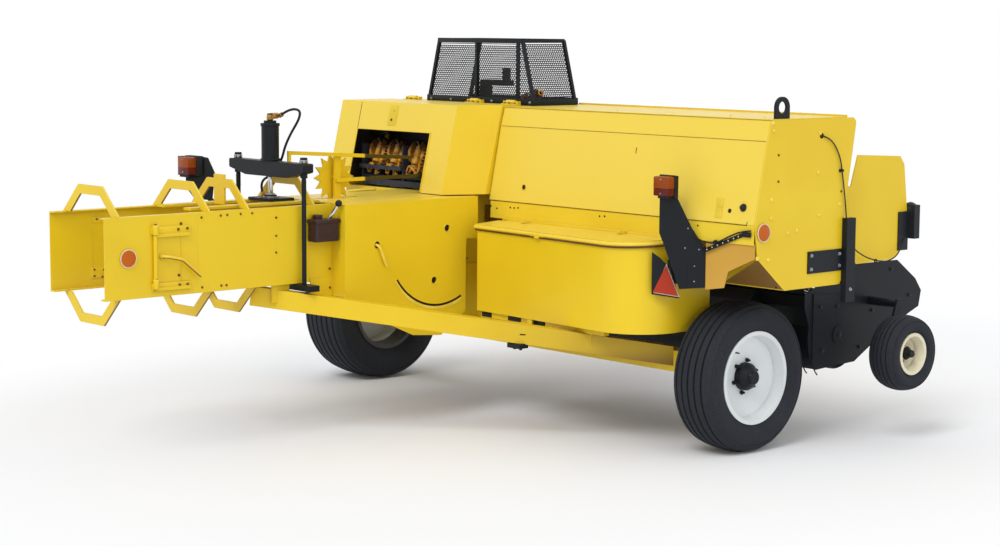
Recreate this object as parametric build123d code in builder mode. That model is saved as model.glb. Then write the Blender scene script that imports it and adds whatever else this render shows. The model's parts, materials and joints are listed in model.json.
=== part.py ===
from build123d import *
import os
from math import cos, hypot, pi, radians, sin

os.makedirs("parts", exist_ok=True)

# All sizes are millimetres. Places are given in the machine's own terms: x to the right of the bale
# chamber's centre line, y ahead of the main wheels' centre, z above the ground.
chamber_x = -537.5  # bale chamber centre line in the part's frame
axle_y = -486.4  # main wheel centres in the part's frame

sheet = 4.0  # sheet metal
plate = 6.0  # chamber and side plates
bracket = 10.0  # thick flat bar and bracket plate
seat_gap = 0.3  # small gap at rest between pieces of different bodies
running_fit = 0.05  # radial clearance of a shaft in its hole

# Bale chamber
chamber_width = 470.0
chamber_bottom = 741.0
chamber_top = 1106.0
chamber_rear = -2441.0
extension_front = -1957.0
chamber_front = 1500.0
flange = 35.0
feed_rear = -230.0
feed_front = 350.0
deck_rear = -1200.0
rail_x = 110.0
rail_width = 60.0
rail_height = 12.0
rail_rear = -1930.0
half = chamber_width / 2

# Bent hoops over and under the chamber
hoop_width = 42.0
hoop_thick = 10.0
hoop_rise = 129.0
hoop_shoulder = 100.0
top_hoops = (-2365.0, -1890.0, -1675.0, -1300.0)
bottom_hoops = (-2365.0, -1880.0, -1640.0)

# Bale tensioner
tension_y = -1385.0
tie_x = 266.0
tie_radius = 11.0
crossbar_depth = 60.0
upper_bar_low = 1264.0
upper_bar_top = 1306.0
upper_bar_belly = 1234.0
lower_bar_height = 28.0
cylinder_radius = 42.0
cylinder_height = 179.0
tension_rod_radius = 12.0
pressure_plate = 14.0
hose_y = -1335.0
hose_radius = 6.0
hose_bend = 48.0

# Main wheels
right_wheel_x = 1760.0
right_wheel_radius = 350.0
right_tyre_width = 236.0
right_rim_radius = 205.0
left_wheel_x = -960.0
left_wheel_radius = 381.0
left_tyre_width = 330.0
left_rim_radius = 205.0
spindle_radius = 30.0
hub_radius = 62.0

# Axle and frame
axle_tube_y = -110.0
axle_tube = 100.0
axle_tube_z = 400.0
axle_left = -770.0
axle_right = 1600.0
brace_start = (100.0, -1570.0, 686.0)
brace_end = (1500.0, -110.0, 418.0)
brace_width = 60.0
brace_height = 90.0

# Feeder house
house_right = 2090.0
floor_z = 788.0
floor_front = 314.0
wall_y = -30.0
skew_x = 1630.0
house_front = 400.0
roof_front = 330.0
throat_top = 1050.0
panel_seam = (-215.0, 1454.0)
panel_top = (-191.0, 1544.0)
house_top = 1550.0
panel_left = 346.0

# Knotter hood
hood_left = -698.0
hood_corner = 232.0
hood_right = 334.0
hood_front = -80.0
hood_top = 1556.0
hood_bottom = 1114.0
hood_rear_top = -410.0
hood_rear_bottom = -514.0
window_left = -530.0
window_right = 70.0
window_top = 1410.0

# Guard cage on the roof
cage_base = (-430.0, 390.0)
cage_crown = (-345.0, 300.0)
cage_y = (-36.0, 250.0)
cage_height = 335.0
cage_bar = 16.0

# Twine box
box_left = 447.0
box_right = 1600.0
box_rear_left = -463.0
box_rear_right = -517.0
box_corner = 230.0
box_bottom = 555.0
box_rim = 965.0
rim_slope = 0.06
lid_thick = 18.0
lid_lap = 8.0
lid_hinge_y = -304.0
lid_room = 120.0  # height of the rear panel's lower edge above the box rim
panel_low = (-290.0, box_rim + lid_room)

# Pickup
pivot_y = 20.0
pivot_z = 470.0
pivot_pin = 14.0
pickup_left = 380.0
pickup_right = 1856.0
reel_y = 600.0
reel_z = 495.0
tine_reach = 210.0
pan_radius = 216.0
tine_bar_radius = 110.0
tine_columns = 22
tine_pitch = 64.0
tine_bars = 4
tine_size = 7.0
stripper_radius = 165.0
stripper_width = 44.0
reel_tube = 30.0
reel_shaft = 20.0
guard_hinge = (690.0, 775.0)
gauge_x = pickup_right + 269
gauge_y = 745.0
gauge_z = 426.0
gauge_radius = 180.0
gauge_width = 150.0
gauge_rim_radius = 92.0

# Pickup lift cylinder
lift_x = 300.0
lift_top = (440.0, 970.0)
lift_eye = (480.0, 640.0)
lift_barrel_radius = 26.0
lift_rod_radius = 12.0
lift_barrel_length = 260.0
lift_rod_length = 275.0
lift_pin = 12.0
eye_pin = 10.0
eye_bore = 20.5

# Driveline, flywheel and tongue
drive_z = 980.0
flywheel_y = 1575.0
flywheel_radius = 265.0
hinge_y = 1760.0
tongue_z = 560.0
tongue_angle = 16.3  # to the left of straight ahead
tongue_length = 1600.0
tongue_width = 100.0
tongue_height = 120.0
hinge_pin = 22.0
hitch_pin = 16.0
drive_fall = 10.0  # driveline slopes down towards the tractor, degrees
guard_radius = 58.0
joint_ball = 42.0
jack_along = 1150.0
jack_aside = 130.0
jack_tube = 70.0
jack_leg_size = 56.0

# Metering wheel
star_y = -1008.0
star_z = 1211.0
star_radius = 122.0
star_root = 84.0
star_teeth = 14


def side(x):
    """Plane at x that faces right, with its own axes ahead and up"""
    return Plane(origin=(chamber_x + x, axle_y, 0), x_dir=(0, 1, 0), z_dir=(1, 0, 0))


def across(y):
    """Plane at y that faces the rear, with its own axes right and up"""
    return Plane(origin=(chamber_x, axle_y + y, 0), x_dir=(1, 0, 0), z_dir=(0, -1, 0))


def level(z):
    """Horizontal plane at z, with its own axes right and ahead"""
    return Plane(origin=(chamber_x, axle_y, z))


def spot(x, y, z):
    """A place of the machine in the part's frame"""
    return Vector(chamber_x + x, axle_y + y, z)


def block(x, y, z, mode=Mode.ADD):
    """Box between a low and a high place on each axis"""
    with BuildSketch(level(z[0])) as foot:
        with Locations(((x[0] + x[1]) / 2, (y[0] + y[1]) / 2)):
            Rectangle(x[1] - x[0], y[1] - y[0])
    extrude(foot.sketch, amount=z[1] - z[0], mode=mode)


def prism(plane, outline, depth, corner=0.0, mode=Mode.ADD):
    """Straight-sided outline pushed out of its plane, with rounded corners where asked"""
    with BuildSketch(plane) as face:
        with BuildLine():
            Polyline(*outline, close=True)
        make_face()
        if corner:
            fillet(face.vertices(), corner)
    extrude(face.sketch, amount=depth, mode=mode)


def ribbon(plane, route, thickness, depth):
    """Bent sheet whose section follows a route"""
    with BuildSketch(plane) as section:
        with BuildLine():
            Polyline(*route)
        trace(line_width=thickness)
    extrude(section.sketch, amount=depth)


def disc(plane, centre, radius, depth, mode=Mode.ADD):
    """Round bar or hole that stands on a plane"""
    with BuildSketch(plane) as face:
        with Locations(centre):
            Circle(radius)
    extrude(face.sketch, amount=depth, mode=mode)


def rod(start, end, radius, mode=Mode.ADD):
    """Round bar between two places"""
    a = spot(*start)
    b = spot(*end)
    with BuildSketch(Plane(origin=a, z_dir=b - a)) as face:
        Circle(radius)
    extrude(face.sketch, amount=(b - a).length, mode=mode)


def bar(start, end, width, height, mode=Mode.ADD):
    """Rectangular bar between two places, its width level"""
    a = spot(*start)
    b = spot(*end)
    run = b - a
    across_run = (-run.Y, run.X, 0) if hypot(run.X, run.Y) > 1 else (1, 0, 0)
    with BuildSketch(Plane(origin=a, x_dir=across_run, z_dir=run)) as face:
        Rectangle(width, height)
    extrude(face.sketch, amount=run.length, mode=mode)


def round_tyre(x, y, z, radius, width, rim_radius, reach):
    """Tyre section turned about its axle; reach is half the width between the rim's flanges"""
    shoulder = width * 0.40
    belly = (rim_radius + radius) / 2
    with BuildSketch(across(y)) as section:
        with BuildLine():
            Polyline(
                (x - reach, z + rim_radius + 14),
                (x - reach, z + rim_radius),
                (x + reach, z + rim_radius),
                (x + reach, z + rim_radius + 14),
            )
            ThreePointArc(
                (x + reach, z + rim_radius + 14),
                (x + width / 2, z + belly),
                (x + shoulder, z + radius - 12),
            )
            ThreePointArc(
                (x + shoulder, z + radius - 12), (x, z + radius), (x - shoulder, z + radius - 12)
            )
            ThreePointArc(
                (x - shoulder, z + radius - 12),
                (x - width / 2, z + belly),
                (x - reach, z + rim_radius + 14),
            )
        make_face()
    revolve(section.sketch, axis=Axis(spot(x, y, z), (1, 0, 0)))


def dished_rim(x, y, z, rim_radius, reach, face, out, hub, bore, lip=12.0):
    """Rim band with flanges, dished disc and capped hub; out is 1 or -1, the side that shows"""
    drop = rim_radius - 20
    profile = (
        (-reach, rim_radius),
        (-reach, rim_radius + lip),
        (-reach - 5, rim_radius + lip),
        (-reach - 5, rim_radius - 8),
        (-reach * 0.5, drop),
        (face - 6, drop),
        (face - 25, hub + 18),
        (face - 25, bore + running_fit),
        (face + 26, bore + running_fit),
        (face + 26, 0),
        (face + 46, 0),
        (face + 46, hub * 0.45),
        (face + 30, hub * 0.55),
        (face + 10, hub),
        (face - 17, hub),
        (face - 17, hub + 18),
        (face + 2, drop),
        (face + 14, drop),
        (reach + 5, rim_radius - 8),
        (reach + 5, rim_radius + lip),
        (reach, rim_radius + lip),
        (reach, rim_radius),
    )
    with BuildSketch(across(y)) as section:
        with BuildLine():
            Polyline(*[(x + out * along, z + height) for along, height in profile], close=True)
        make_face()
    revolve(section.sketch, axis=Axis(spot(x, y, z), (1, 0, 0)))


def rim_at(y):
    """Height of the twine box rim, which rises towards the front"""
    return box_rim + rim_slope * (y - box_rear_left)


nodes = {}

# Axle tube with a cranked spindle at each end and the brackets that carry the pickup
with BuildPart() as axle_beam:
    tube_y = (axle_tube_y - axle_tube / 2, axle_tube_y + axle_tube / 2)
    tube_z = (axle_tube_z - axle_tube / 2, axle_tube_z + axle_tube / 2)
    block((axle_left, axle_right), tube_y, tube_z)
    for end, out, wheel_x, wheel_z, face in (
        (axle_right, 1, right_wheel_x, right_wheel_radius, 45),
        (axle_left, -1, left_wheel_x, left_wheel_radius, 60),
    ):
        inner = end - out * 35
        prism(
            side(min(end, inner)),
            (
                (tube_y[0], tube_z[0]),
                (tube_y[0], tube_z[1]),
                (tube_y[1], tube_z[1]),
                (48, wheel_z + 45),
                (48, wheel_z - 45),
                (tube_y[1], tube_z[0] - 20),
            ),
            35,
        )
        hub_face = wheel_x + out * (face - 25)
        rod((inner, 0, wheel_z), (hub_face - out * seat_gap, 0, wheel_z), 42)
        rod((inner, 0, wheel_z), (hub_face + out * (51 - seat_gap), 0, wheel_z), spindle_radius)
    for bracket_x in (396, 1536):
        prism(
            side(bracket_x),
            (
                (tube_y[1] - 5, tube_z[1]),
                (tube_y[1], pivot_z + 30),
                (pivot_y + 30, pivot_z + 30),
                (pivot_y + 30, pivot_z - 30),
                (tube_y[1], tube_z[0] + 20),
            ),
            bracket,
        )
    for low_x, rear in ((half, -445), (-half - plate, -300)):
        block((low_x, low_x + plate), (rear, wall_y - sheet), (tube_z[1], chamber_bottom + 20))
    rod((376, pivot_y, pivot_z), (400, pivot_y, pivot_z), pivot_pin)
    rod((1540, pivot_y, pivot_z), (1568, pivot_y, pivot_z), pivot_pin)
nodes["axle_beam"] = axle_beam

# Long square tube from the chamber to the axle
with BuildPart() as diagonal_brace:
    bar(brace_start, brace_end, brace_width, brace_height)
    block((1200, 1700), (tube_y[0], 200), (200, 600), mode=Mode.SUBTRACT)
    block((200, 210), (-1530, -1430), (655, chamber_bottom))
nodes["diagonal_brace"] = diagonal_brace


def channel(x, out, rear, front):
    """Side of the bale chamber with its flanges turned inward"""
    inner = x - out * plate
    lip = x - out * flange
    block((min(x, inner), max(x, inner)), (rear, front), (chamber_bottom, chamber_top))
    for low in (chamber_bottom, chamber_top - plate):
        block((min(x, lip), max(x, lip)), (rear, front), (low, low + plate))


with BuildPart() as extension_sides:
    channel(-half, -1, chamber_rear, extension_front)
    channel(half, 1, chamber_rear, extension_front)
    for low in (768, 1008):
        block((half, half + 14), (-2190, extension_front - 48), (low, low + 16))
    rod((half + 14, -2190, 788), (half + 14, -2190, 1051), 9)
nodes["extension_sides"] = extension_sides

with BuildPart() as chamber_left:
    channel(-half, -1, extension_front, chamber_front)
nodes["chamber_left"] = chamber_left

with BuildPart() as chamber_right:
    channel(half, 1, extension_front, chamber_front)
    block(
        (half - plate, half),
        (feed_rear, feed_front),
        (floor_z, throat_top),
        mode=Mode.SUBTRACT,
    )
    prism(
        side(half),
        (
            (lift_top[0] - 50, chamber_top - 40),
            (lift_top[0] + 50, chamber_top - 40),
            (lift_top[0] + 30, lift_top[1] - 30),
            (lift_top[0] - 30, lift_top[1] - 30),
        ),
        10,
    )
    rod((half, *lift_top), (lift_x + 18, *lift_top), lift_pin)
nodes["chamber_right"] = chamber_right

with BuildPart() as chamber_decks:
    block((-half, half), (deck_rear, 1180), (chamber_top, chamber_top + sheet))
    block(
        (-half + plate, half - plate),
        (deck_rear, chamber_front),
        (chamber_bottom + plate, chamber_bottom + plate + sheet),
    )
    block(
        (-12, 12),
        (star_y - star_radius - 20, star_y + star_radius + 20),
        (chamber_top - 5, chamber_top + 5),
        mode=Mode.SUBTRACT,
    )
    for x in (-rail_x, rail_x):
        span = (x - rail_width / 2, x + rail_width / 2)
        block(span, (rail_rear, deck_rear), (chamber_top, chamber_top + rail_height))
        block(span, (rail_rear, deck_rear), (chamber_bottom - 3, chamber_bottom + 9))
nodes["chamber_decks"] = chamber_decks

# Hoops over and under the chamber
with BuildPart() as chamber_hoops:
    rise = hypot(half - hoop_shoulder, hoop_rise)
    foot = half - hoop_width * rise / hoop_rise
    crook = hoop_shoulder - hoop_width * (rise - half + hoop_shoulder) / hoop_rise
    for up, base, places in ((1, chamber_top, top_hoops), (-1, chamber_bottom, bottom_hoops)):
        for y in places:
            prism(
                across(y + hoop_thick / 2),
                (
                    (-half, base),
                    (-hoop_shoulder, base + up * hoop_rise),
                    (hoop_shoulder, base + up * hoop_rise),
                    (half, base),
                    (foot, base),
                    (crook, base + up * (hoop_rise - hoop_width)),
                    (-crook, base + up * (hoop_rise - hoop_width)),
                    (-foot, base),
                ),
                hoop_thick,
            )
    block((-42, 42), (-1680, -1670), (chamber_top + 8, chamber_top + 149))
nodes["chamber_hoops"] = chamber_hoops

# Crossbars and tie rods of the bale tensioner
with BuildPart() as tension_frame:
    prism(
        across(tension_y + crossbar_depth / 2),
        (
            (-300, upper_bar_top),
            (300, upper_bar_top),
            (300, upper_bar_low),
            (165, upper_bar_belly),
            (-165, upper_bar_belly),
            (-300, upper_bar_low),
        ),
        crossbar_depth,
        corner=10,
    )
    lower_top = chamber_bottom - 3
    block(
        (-345, 345),
        (tension_y - crossbar_depth / 2, tension_y + crossbar_depth / 2),
        (lower_top - lower_bar_height, lower_top),
    )
    for x in (-tie_x, tie_x):
        rod((x, tension_y, lower_top - lower_bar_height), (x, tension_y, 1330), tie_radius)
        with BuildSketch(level(upper_bar_top)) as nut:
            with Locations((x, tension_y)):
                RegularPolygon(20, 6)
        extrude(nut.sketch, amount=16)
    pad_top = chamber_top + rail_height + pressure_plate
    block((-90, 90), (-1452, -1312), (chamber_top + rail_height, pad_top))
    rod((0, tension_y, pad_top), (0, tension_y, pad_top + 12), 30)
nodes["tension_frame"] = tension_frame

with BuildPart() as tension_cylinder:
    head = upper_bar_top + cylinder_height
    rod((0, tension_y, upper_bar_top), (0, tension_y, head), cylinder_radius)
    rod((0, tension_y, head), (0, tension_y, head + 12), 30)
    rod((0, tension_y, head + 12), (0, tension_y, head + 46), 13)
    rod((0, tension_y, head + 34), (0, hose_y + 10, head + 34), 10)
    rod((0, tension_y, pad_top + 12), (0, tension_y, upper_bar_belly), tension_rod_radius)
nodes["tension_cylinder"] = tension_cylinder

# Hydraulic hose from the cylinder's head, behind the crossbar and down to the deck
with BuildPart() as tension_hose:
    hose_route = (
        (11.5, head + 34),
        (95, 1560),
        (200, 1545),
        (60, 1400),
        (20, 1300),
        (-60, 1235),
        (-165, 1190),
        (-128, chamber_top + rail_height + 10),
    )
    with BuildLine(across(hose_y)) as hose_line:
        FilletPolyline(*hose_route, radius=hose_bend)
    hose_path = hose_line.line
    with BuildSketch(Plane(origin=hose_path @ 0, z_dir=hose_path % 0)):
        Circle(hose_radius)
    sweep(path=hose_path)
    deck_fitting = chamber_top + rail_height
    rod((-128, hose_y, deck_fitting), (-128, hose_y, deck_fitting + 24), 11)
nodes["tension_hose"] = tension_hose

# Hand pump of the tensioner on the chamber's right side
with BuildPart() as pump_reservoir:
    block((half, half + 75), (-1345, -1208), (937, 1040))
    fillet(pump_reservoir.edges().filter_by(Axis.Z), 14)
    rod((half + 30, -1305, 1040), (half + 30, -1305, 1061), 22)
    rod((half + 45, -1250, 1038), (half + 84, -1222, 1115), 7)
    with Locations(spot(half + 84, -1222, 1115)):
        Sphere(15)
nodes["pump_reservoir"] = pump_reservoir

# Measuring wheel arm above the chamber
with BuildPart() as metering_arm:
    prism(
        side(34),
        (
            (-1312, 1300),
            (-1312, 1352),
            (-560, 1302),
            (-560, 1284),
            (-1296, 1333),
            (-1296, 1300),
        ),
        12,
    )
    block((34, 46), (star_y - 14, -430), (1190, 1208))
    block((22, 34), (star_y - 20, star_y + 20), (chamber_top + sheet, 1330))
    rod((-16, star_y, star_z), (22, star_y, star_z), 12)
nodes["metering_arm"] = metering_arm

with BuildPart() as metering_wheel:
    with BuildSketch(side(-4)) as star:
        with BuildLine():
            points = []
            for corner in range(2 * star_teeth):
                turn = pi * corner / star_teeth
                reach = star_root if corner % 2 else star_radius
                points.append((star_y + reach * cos(turn), star_z + reach * sin(turn)))
            Polyline(*points, close=True)
        make_face()
        with Locations((star_y, star_z)):
            Circle(12 + running_fit, mode=Mode.SUBTRACT)
    extrude(star.sketch, amount=8)
nodes["metering_wheel"] = metering_wheel

# Shield with the needle slot on the chamber's right side
with BuildPart() as right_shield:
    prism(
        side(hood_right),
        (
            (-1200, 1108),
            (-366, 1108),
            (-366, 900),
            (-442, 900),
            (-445, 543),
            (-605, 432),
            (-784, 449),
            (-1021, 554),
            (-1200, 640),
        ),
        plate,
    )
    block((half, half + plate), (-1330, -1196), (668, chamber_bottom + 20))
    block((half, hood_right), (-1200, -366), (1104, 1108))
    block((half, hood_right), (-1200, -1196), (668, 1104))
    with BuildSketch(side(hood_right - 5)) as slot:
        with Locations((-620.6, 897.9)):
            Circle(322)
            Circle(308, mode=Mode.SUBTRACT)
        with BuildLine():
            Polyline((-620.6, 897.9), (-1021, 640), (-1021, 400), (-449, 400), close=True)
        make_face(mode=Mode.INTERSECT)
    extrude(slot.sketch, amount=plate + 10, mode=Mode.SUBTRACT)
    for y, z in ((-1008, 906), (-568, 961), (-651, 709)):
        disc(side(hood_right - 5), (y, z), 16, plate + 10, mode=Mode.SUBTRACT)
nodes["right_shield"] = right_shield

# Feeder house: floor, rear wall, front wall and left wall of sheet
with BuildPart() as feeder_floor:
    # Sloping gusset between the oblique wall and the floor
    prism(
        side(skew_x),
        ((-266, 934), (-86, floor_z), (-81, floor_z), (-262, 936)),
        house_right - 4 - skew_x,
    )
    prism(
        level(700),
        (
            (skew_x, wall_y + 0.2),
            (house_right - 4, -261.8),
            (house_right - 4, -600),
            (skew_x - 100, -600),
            (skew_x - 100, wall_y),
        ),
        400,
        mode=Mode.SUBTRACT,
    )
    prism(
        level(floor_z - sheet),
        (
            (half, wall_y - sheet),
            (skew_x, wall_y - sheet),
            (skew_x + 102, -86),
            (house_right - 4, -86),
            (house_right - 4, floor_front),
            (half, floor_front),
        ),
        sheet,
    )
nodes["feeder_floor"] = feeder_floor

with BuildPart() as feeder_rear_wall:
    block((344, skew_x), (wall_y - sheet, wall_y), (floor_z, house_top - sheet))
    prism(
        level(floor_z),
        (
            (skew_x, wall_y),
            (house_right - 4, -262),
            (house_right - 4, -266.5),
            (skew_x, wall_y - sheet),
        ),
        panel_low[1] - floor_z,
    )
    prism(
        side(skew_x - 10),
        ((-400, 1044), (-86, 788), (-86, 700), (-400, 700)),
        500,
        mode=Mode.SUBTRACT,
    )
    block((346, house_right - 4), (panel_low[0], wall_y - sheet), (panel_low[1], panel_low[1] + 3))
    strip_low = rim_at(panel_low[0]) + lid_thick + 5
    block((346, house_right - 4), (panel_low[0], panel_low[0] + 3), (strip_low, panel_low[1]))
    # Lugs and pins of the twine box lid
    pin_z = rim_at(lid_hinge_y) + seat_gap + lid_thick / 2
    for x in (640, 1300):
        block((x - 14, x + 14), (lid_hinge_y - 8, panel_low[0]), (pin_z - 8, strip_low + 8))
        rod((x - 50, lid_hinge_y, pin_z), (x + 50, lid_hinge_y, pin_z), 4)
nodes["feeder_rear_wall"] = feeder_rear_wall

with BuildPart() as feeder_front_wall:
    ribbon(
        side(344),
        ((322, throat_top), (322, 1100), (roof_front - 3, house_top - sheet)),
        sheet,
        house_right - 4 - 344,
    )
    block((0, 3000), (0, 800), (house_top - sheet, 1700), mode=Mode.SUBTRACT)
nodes["feeder_front_wall"] = feeder_front_wall

with BuildPart() as feeder_left_wall:
    prism(
        side(340),
        (
            (-190, house_top - sheet),
            (roof_front - 6, house_top - sheet),
            (318, 1100),
            (318, floor_z),
            (-30, floor_z),
            (-30, panel_low[1] + 3),
            (panel_low[0], panel_low[1] + 3),
            (-215, 1454),
        ),
        sheet,
    )
    block((330, 350), (feed_rear, feed_front), (floor_z - 2, throat_top), mode=Mode.SUBTRACT)
nodes["feeder_left_wall"] = feeder_left_wall

with BuildPart() as end_plate:
    prism(
        side(house_right - 4),
        (
            (-191, house_top - sheet),
            (house_front, house_top - sheet),
            (324, 1100),
            (320, 1050),
            (320, 784),
            (-86, 784),
            (-268, 935),
            panel_low,
            panel_seam,
        ),
        plate,
    )
    fillet(end_plate.edges().filter_by(Axis.X).group_by(Axis.Y)[-1], 28)
    fillet(end_plate.edges().filter_by(Axis.X).sort_by_distance(spot(house_right, 320, 784))[0], 40)
nodes["end_plate"] = end_plate

# Lift-off panel over the back of the feeder house
with BuildPart() as rear_panel:
    ribbon(
        side(panel_left),
        (panel_low, panel_seam, panel_top),
        sheet,
        house_right - 4 - panel_left,
    )
    block((300, 2200), (-400, 0), (house_top - sheet, 1700), mode=Mode.SUBTRACT)
    block((300, 2200), (-400, 0), (1000, panel_low[1] + 3), mode=Mode.SUBTRACT)
nodes["rear_panel"] = rear_panel

with BuildPart() as top_cover:
    block((340, house_right + 2), (-195, roof_front), (house_top - sheet, house_top))
    block((340, house_right + 2), (roof_front - 4, roof_front), (house_top, house_top + 8))
nodes["top_cover"] = top_cover

with BuildPart() as lifting_eye:
    with BuildSketch(side(2060)) as eye:
        with BuildLine():
            Line((-144, house_top), (-49, house_top))
            Line((-49, house_top), (-49, 1600))
            ThreePointArc((-49, 1600), (-96.5, 1647.5), (-144, 1600))
            Line((-144, 1600), (-144, house_top))
        make_face()
        with Locations((-96.5, 1600)):
            Circle(27, mode=Mode.SUBTRACT)
    extrude(eye.sketch, amount=12)
nodes["lifting_eye"] = lifting_eye

# House over the knotter drive, ahead of the hood
with BuildPart() as drive_house:
    block((hood_left, 336), (-72, house_front), (1110, house_top))
    block((hood_left + 4, 332), (-68, house_front - 4), (1100, house_top - 4), mode=Mode.SUBTRACT)
    for x in (hood_left + 10, hood_right - 14):
        block((x, x + 4), (-110, -68), (hood_bottom + 6, hood_top - 30))
    for x in (-560, -60, 220):
        rod((x - 26, -65, 1566), (x + 86, -65, 1566), 6)
        for lug in (x - 26, x + 68):
            block((lug, lug + 18), (-71, -50), (house_top, 1572))
nodes["drive_house"] = drive_house


def hood_shell(inset, drop, mode=Mode.ADD):
    """Body of the knotter hood: its five-sided plan narrows and leans towards the top"""
    with BuildSketch(level(hood_bottom - drop)) as low:
        with BuildLine():
            Polyline(
                (hood_left + inset, hood_front),
                (hood_left + inset, hood_rear_bottom + inset),
                (hood_corner - inset * 0.6, hood_rear_bottom + inset),
                (hood_right - inset, -313 + inset * 0.4),
                (hood_right - inset, hood_front),
                close=True,
            )
        make_face()
    with BuildSketch(level(hood_top - inset)) as high:
        with BuildLine():
            Polyline(
                (hood_left + inset, hood_front),
                (hood_left + inset, hood_rear_top + inset),
                (hood_corner - inset * 0.6, hood_rear_top + inset),
                (hood_right - inset, -200 + inset * 0.4),
                (hood_right - inset, hood_front),
                close=True,
            )
        make_face()
    loft(sections=[low.sketch, high.sketch], ruled=True, mode=mode)


with BuildPart() as knotter_hood:
    hood_shell(0, 0)
    hood_shell(sheet, 0, mode=Mode.SUBTRACT)
    block(
        (hood_left + sheet, hood_right - sheet),
        (hood_front - 6, hood_front + 5),
        (hood_bottom, hood_top - sheet),
        mode=Mode.SUBTRACT,
    )
    block(
        (window_left, window_right),
        (-600, -395),
        (hood_bottom - 5, window_top),
        mode=Mode.SUBTRACT,
    )
    for x in (-560, -60, 220):
        block((x, x + 60), (-110, -70), (hood_top, hood_top + 4))
        rod((x, -65, 1566), (x + 60, -65, 1566), 11.5)
        rod((x, -65, 1566), (x + 60, -65, 1566), 6 + running_fit, mode=Mode.SUBTRACT)
nodes["knotter_hood"] = knotter_hood

# Knotter stand with its shaft and the two knotters
with BuildPart() as knotter_frame:
    deck = chamber_top + sheet
    block((-228, -218), (-390, -230), (deck, 1330))
    block((206, 216), (-390, -230), (deck, 1330))
    rod((-560, -310, 1290), (206, -310, 1290), 18)
    block((-560, -218), (-410, -392), (1205, 1225))
    block((-560, 216), (-392, -376), (1120, 1150))
    block((-560, -550), (-392, -230), (1120, 1330))
    block((-560, -228), (-250, -230), (1120, 1150))
nodes["knotter_frame"] = knotter_frame

with BuildPart() as knotters:
    for x in (-480, -330, -160):
        block((x - 12, x + 12), (-375, -270), (1225, 1271.5))
        with BuildSketch(side(x - 30)) as cam:
            with Locations((-310, 1290)):
                Circle(72)
                Circle(18 + running_fit, mode=Mode.SUBTRACT)
        extrude(cam.sketch, amount=16)
        rod((x + 30, -388, 1240), (x + 30, -350, 1330), 18)
        block((x + 10, x + 45), (-375, -335), (1215, 1250))
nodes["knotters"] = knotters

# Guard cage on the house over the knotter drive
with BuildPart() as cage_frame:
    low_z = house_top + cage_bar / 2
    high_z = house_top + cage_height - cage_bar / 2
    for y in cage_y:
        bar((cage_base[0], y, low_z), (cage_base[1], y, low_z), cage_bar, cage_bar)
        bar((cage_crown[0], y, high_z), (cage_crown[1], y, high_z), cage_bar, cage_bar)
        for low_x, high_x in zip(cage_base, cage_crown):
            bar((low_x, y, low_z), (high_x, y, high_z), cage_bar, cage_bar)
        bar((-45, y, low_z), (-45, y, high_z), cage_bar, cage_bar)
    for low_x, high_x in zip(cage_base, cage_crown):
        bar((low_x, cage_y[0], low_z), (low_x, cage_y[1], low_z), cage_bar, cage_bar)
        bar((high_x, cage_y[0], high_z), (high_x, cage_y[1], high_z), cage_bar, cage_bar)
    block((-600, 600), (-200, 400), (house_top - 50, house_top), mode=Mode.SUBTRACT)
nodes["cage_frame"] = cage_frame

with BuildPart() as cage_crank:
    rod((-130, 100, house_top), (-130, 100, 1640), 34)
    block((-150, 60), (75, 125), (1640, 1670))
    rod((30, 100, 1670), (30, 100, 1730), 22)
nodes["cage_crank"] = cage_crank

def box_plan(inset, base, height, mode=Mode.ADD):
    """Plan of the twine box with its large rear corner"""
    with BuildSketch(level(base)) as plan:
        with BuildLine():
            Polyline(
                (box_left + inset, wall_y - sheet - inset),
                (box_left + inset, box_rear_left + inset),
                (box_right - inset, box_rear_right + inset),
                (box_right - inset, wall_y - sheet - inset),
                close=True,
            )
        make_face()
        fillet(plan.vertices().sort_by(Axis.Y)[0], box_corner - inset)
    extrude(plan.sketch, amount=height, mode=mode)


# Twine box, open at the top under its lid
with BuildPart() as twine_box:
    box_plan(0, box_bottom, 500)
    box_plan(sheet, box_bottom + sheet, 500, mode=Mode.SUBTRACT)
    prism(
        side(box_left - 20),
        ((-600, rim_at(-600)), (0, rim_at(0)), (0, 1200), (-600, 1200)),
        box_right - box_left + 40,
        mode=Mode.SUBTRACT,
    )
    # Arm from the axle and foot on the brace that carry the box
    rail_z = (tube_z[1], tube_z[1] + 40)
    block((836, 856), (box_rear_left - 12, tube_y[1]), rail_z)
    block((830, 862), (box_rear_left - 16, box_rear_left - 12), (rail_z[0], box_bottom + 45))
    block((836, 856), (box_rear_left - 12, box_rear_left), (rail_z[1], box_bottom + 30))
    block((470, 1330), (box_rear_left + 8, box_rear_left + 38), (box_bottom - 30, box_bottom))
    block((1170, 1230), (-440, -380), (box_bottom - 80, box_bottom))
    bar(brace_start, brace_end, brace_width, brace_height, mode=Mode.SUBTRACT)
nodes["twine_box"] = twine_box

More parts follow.
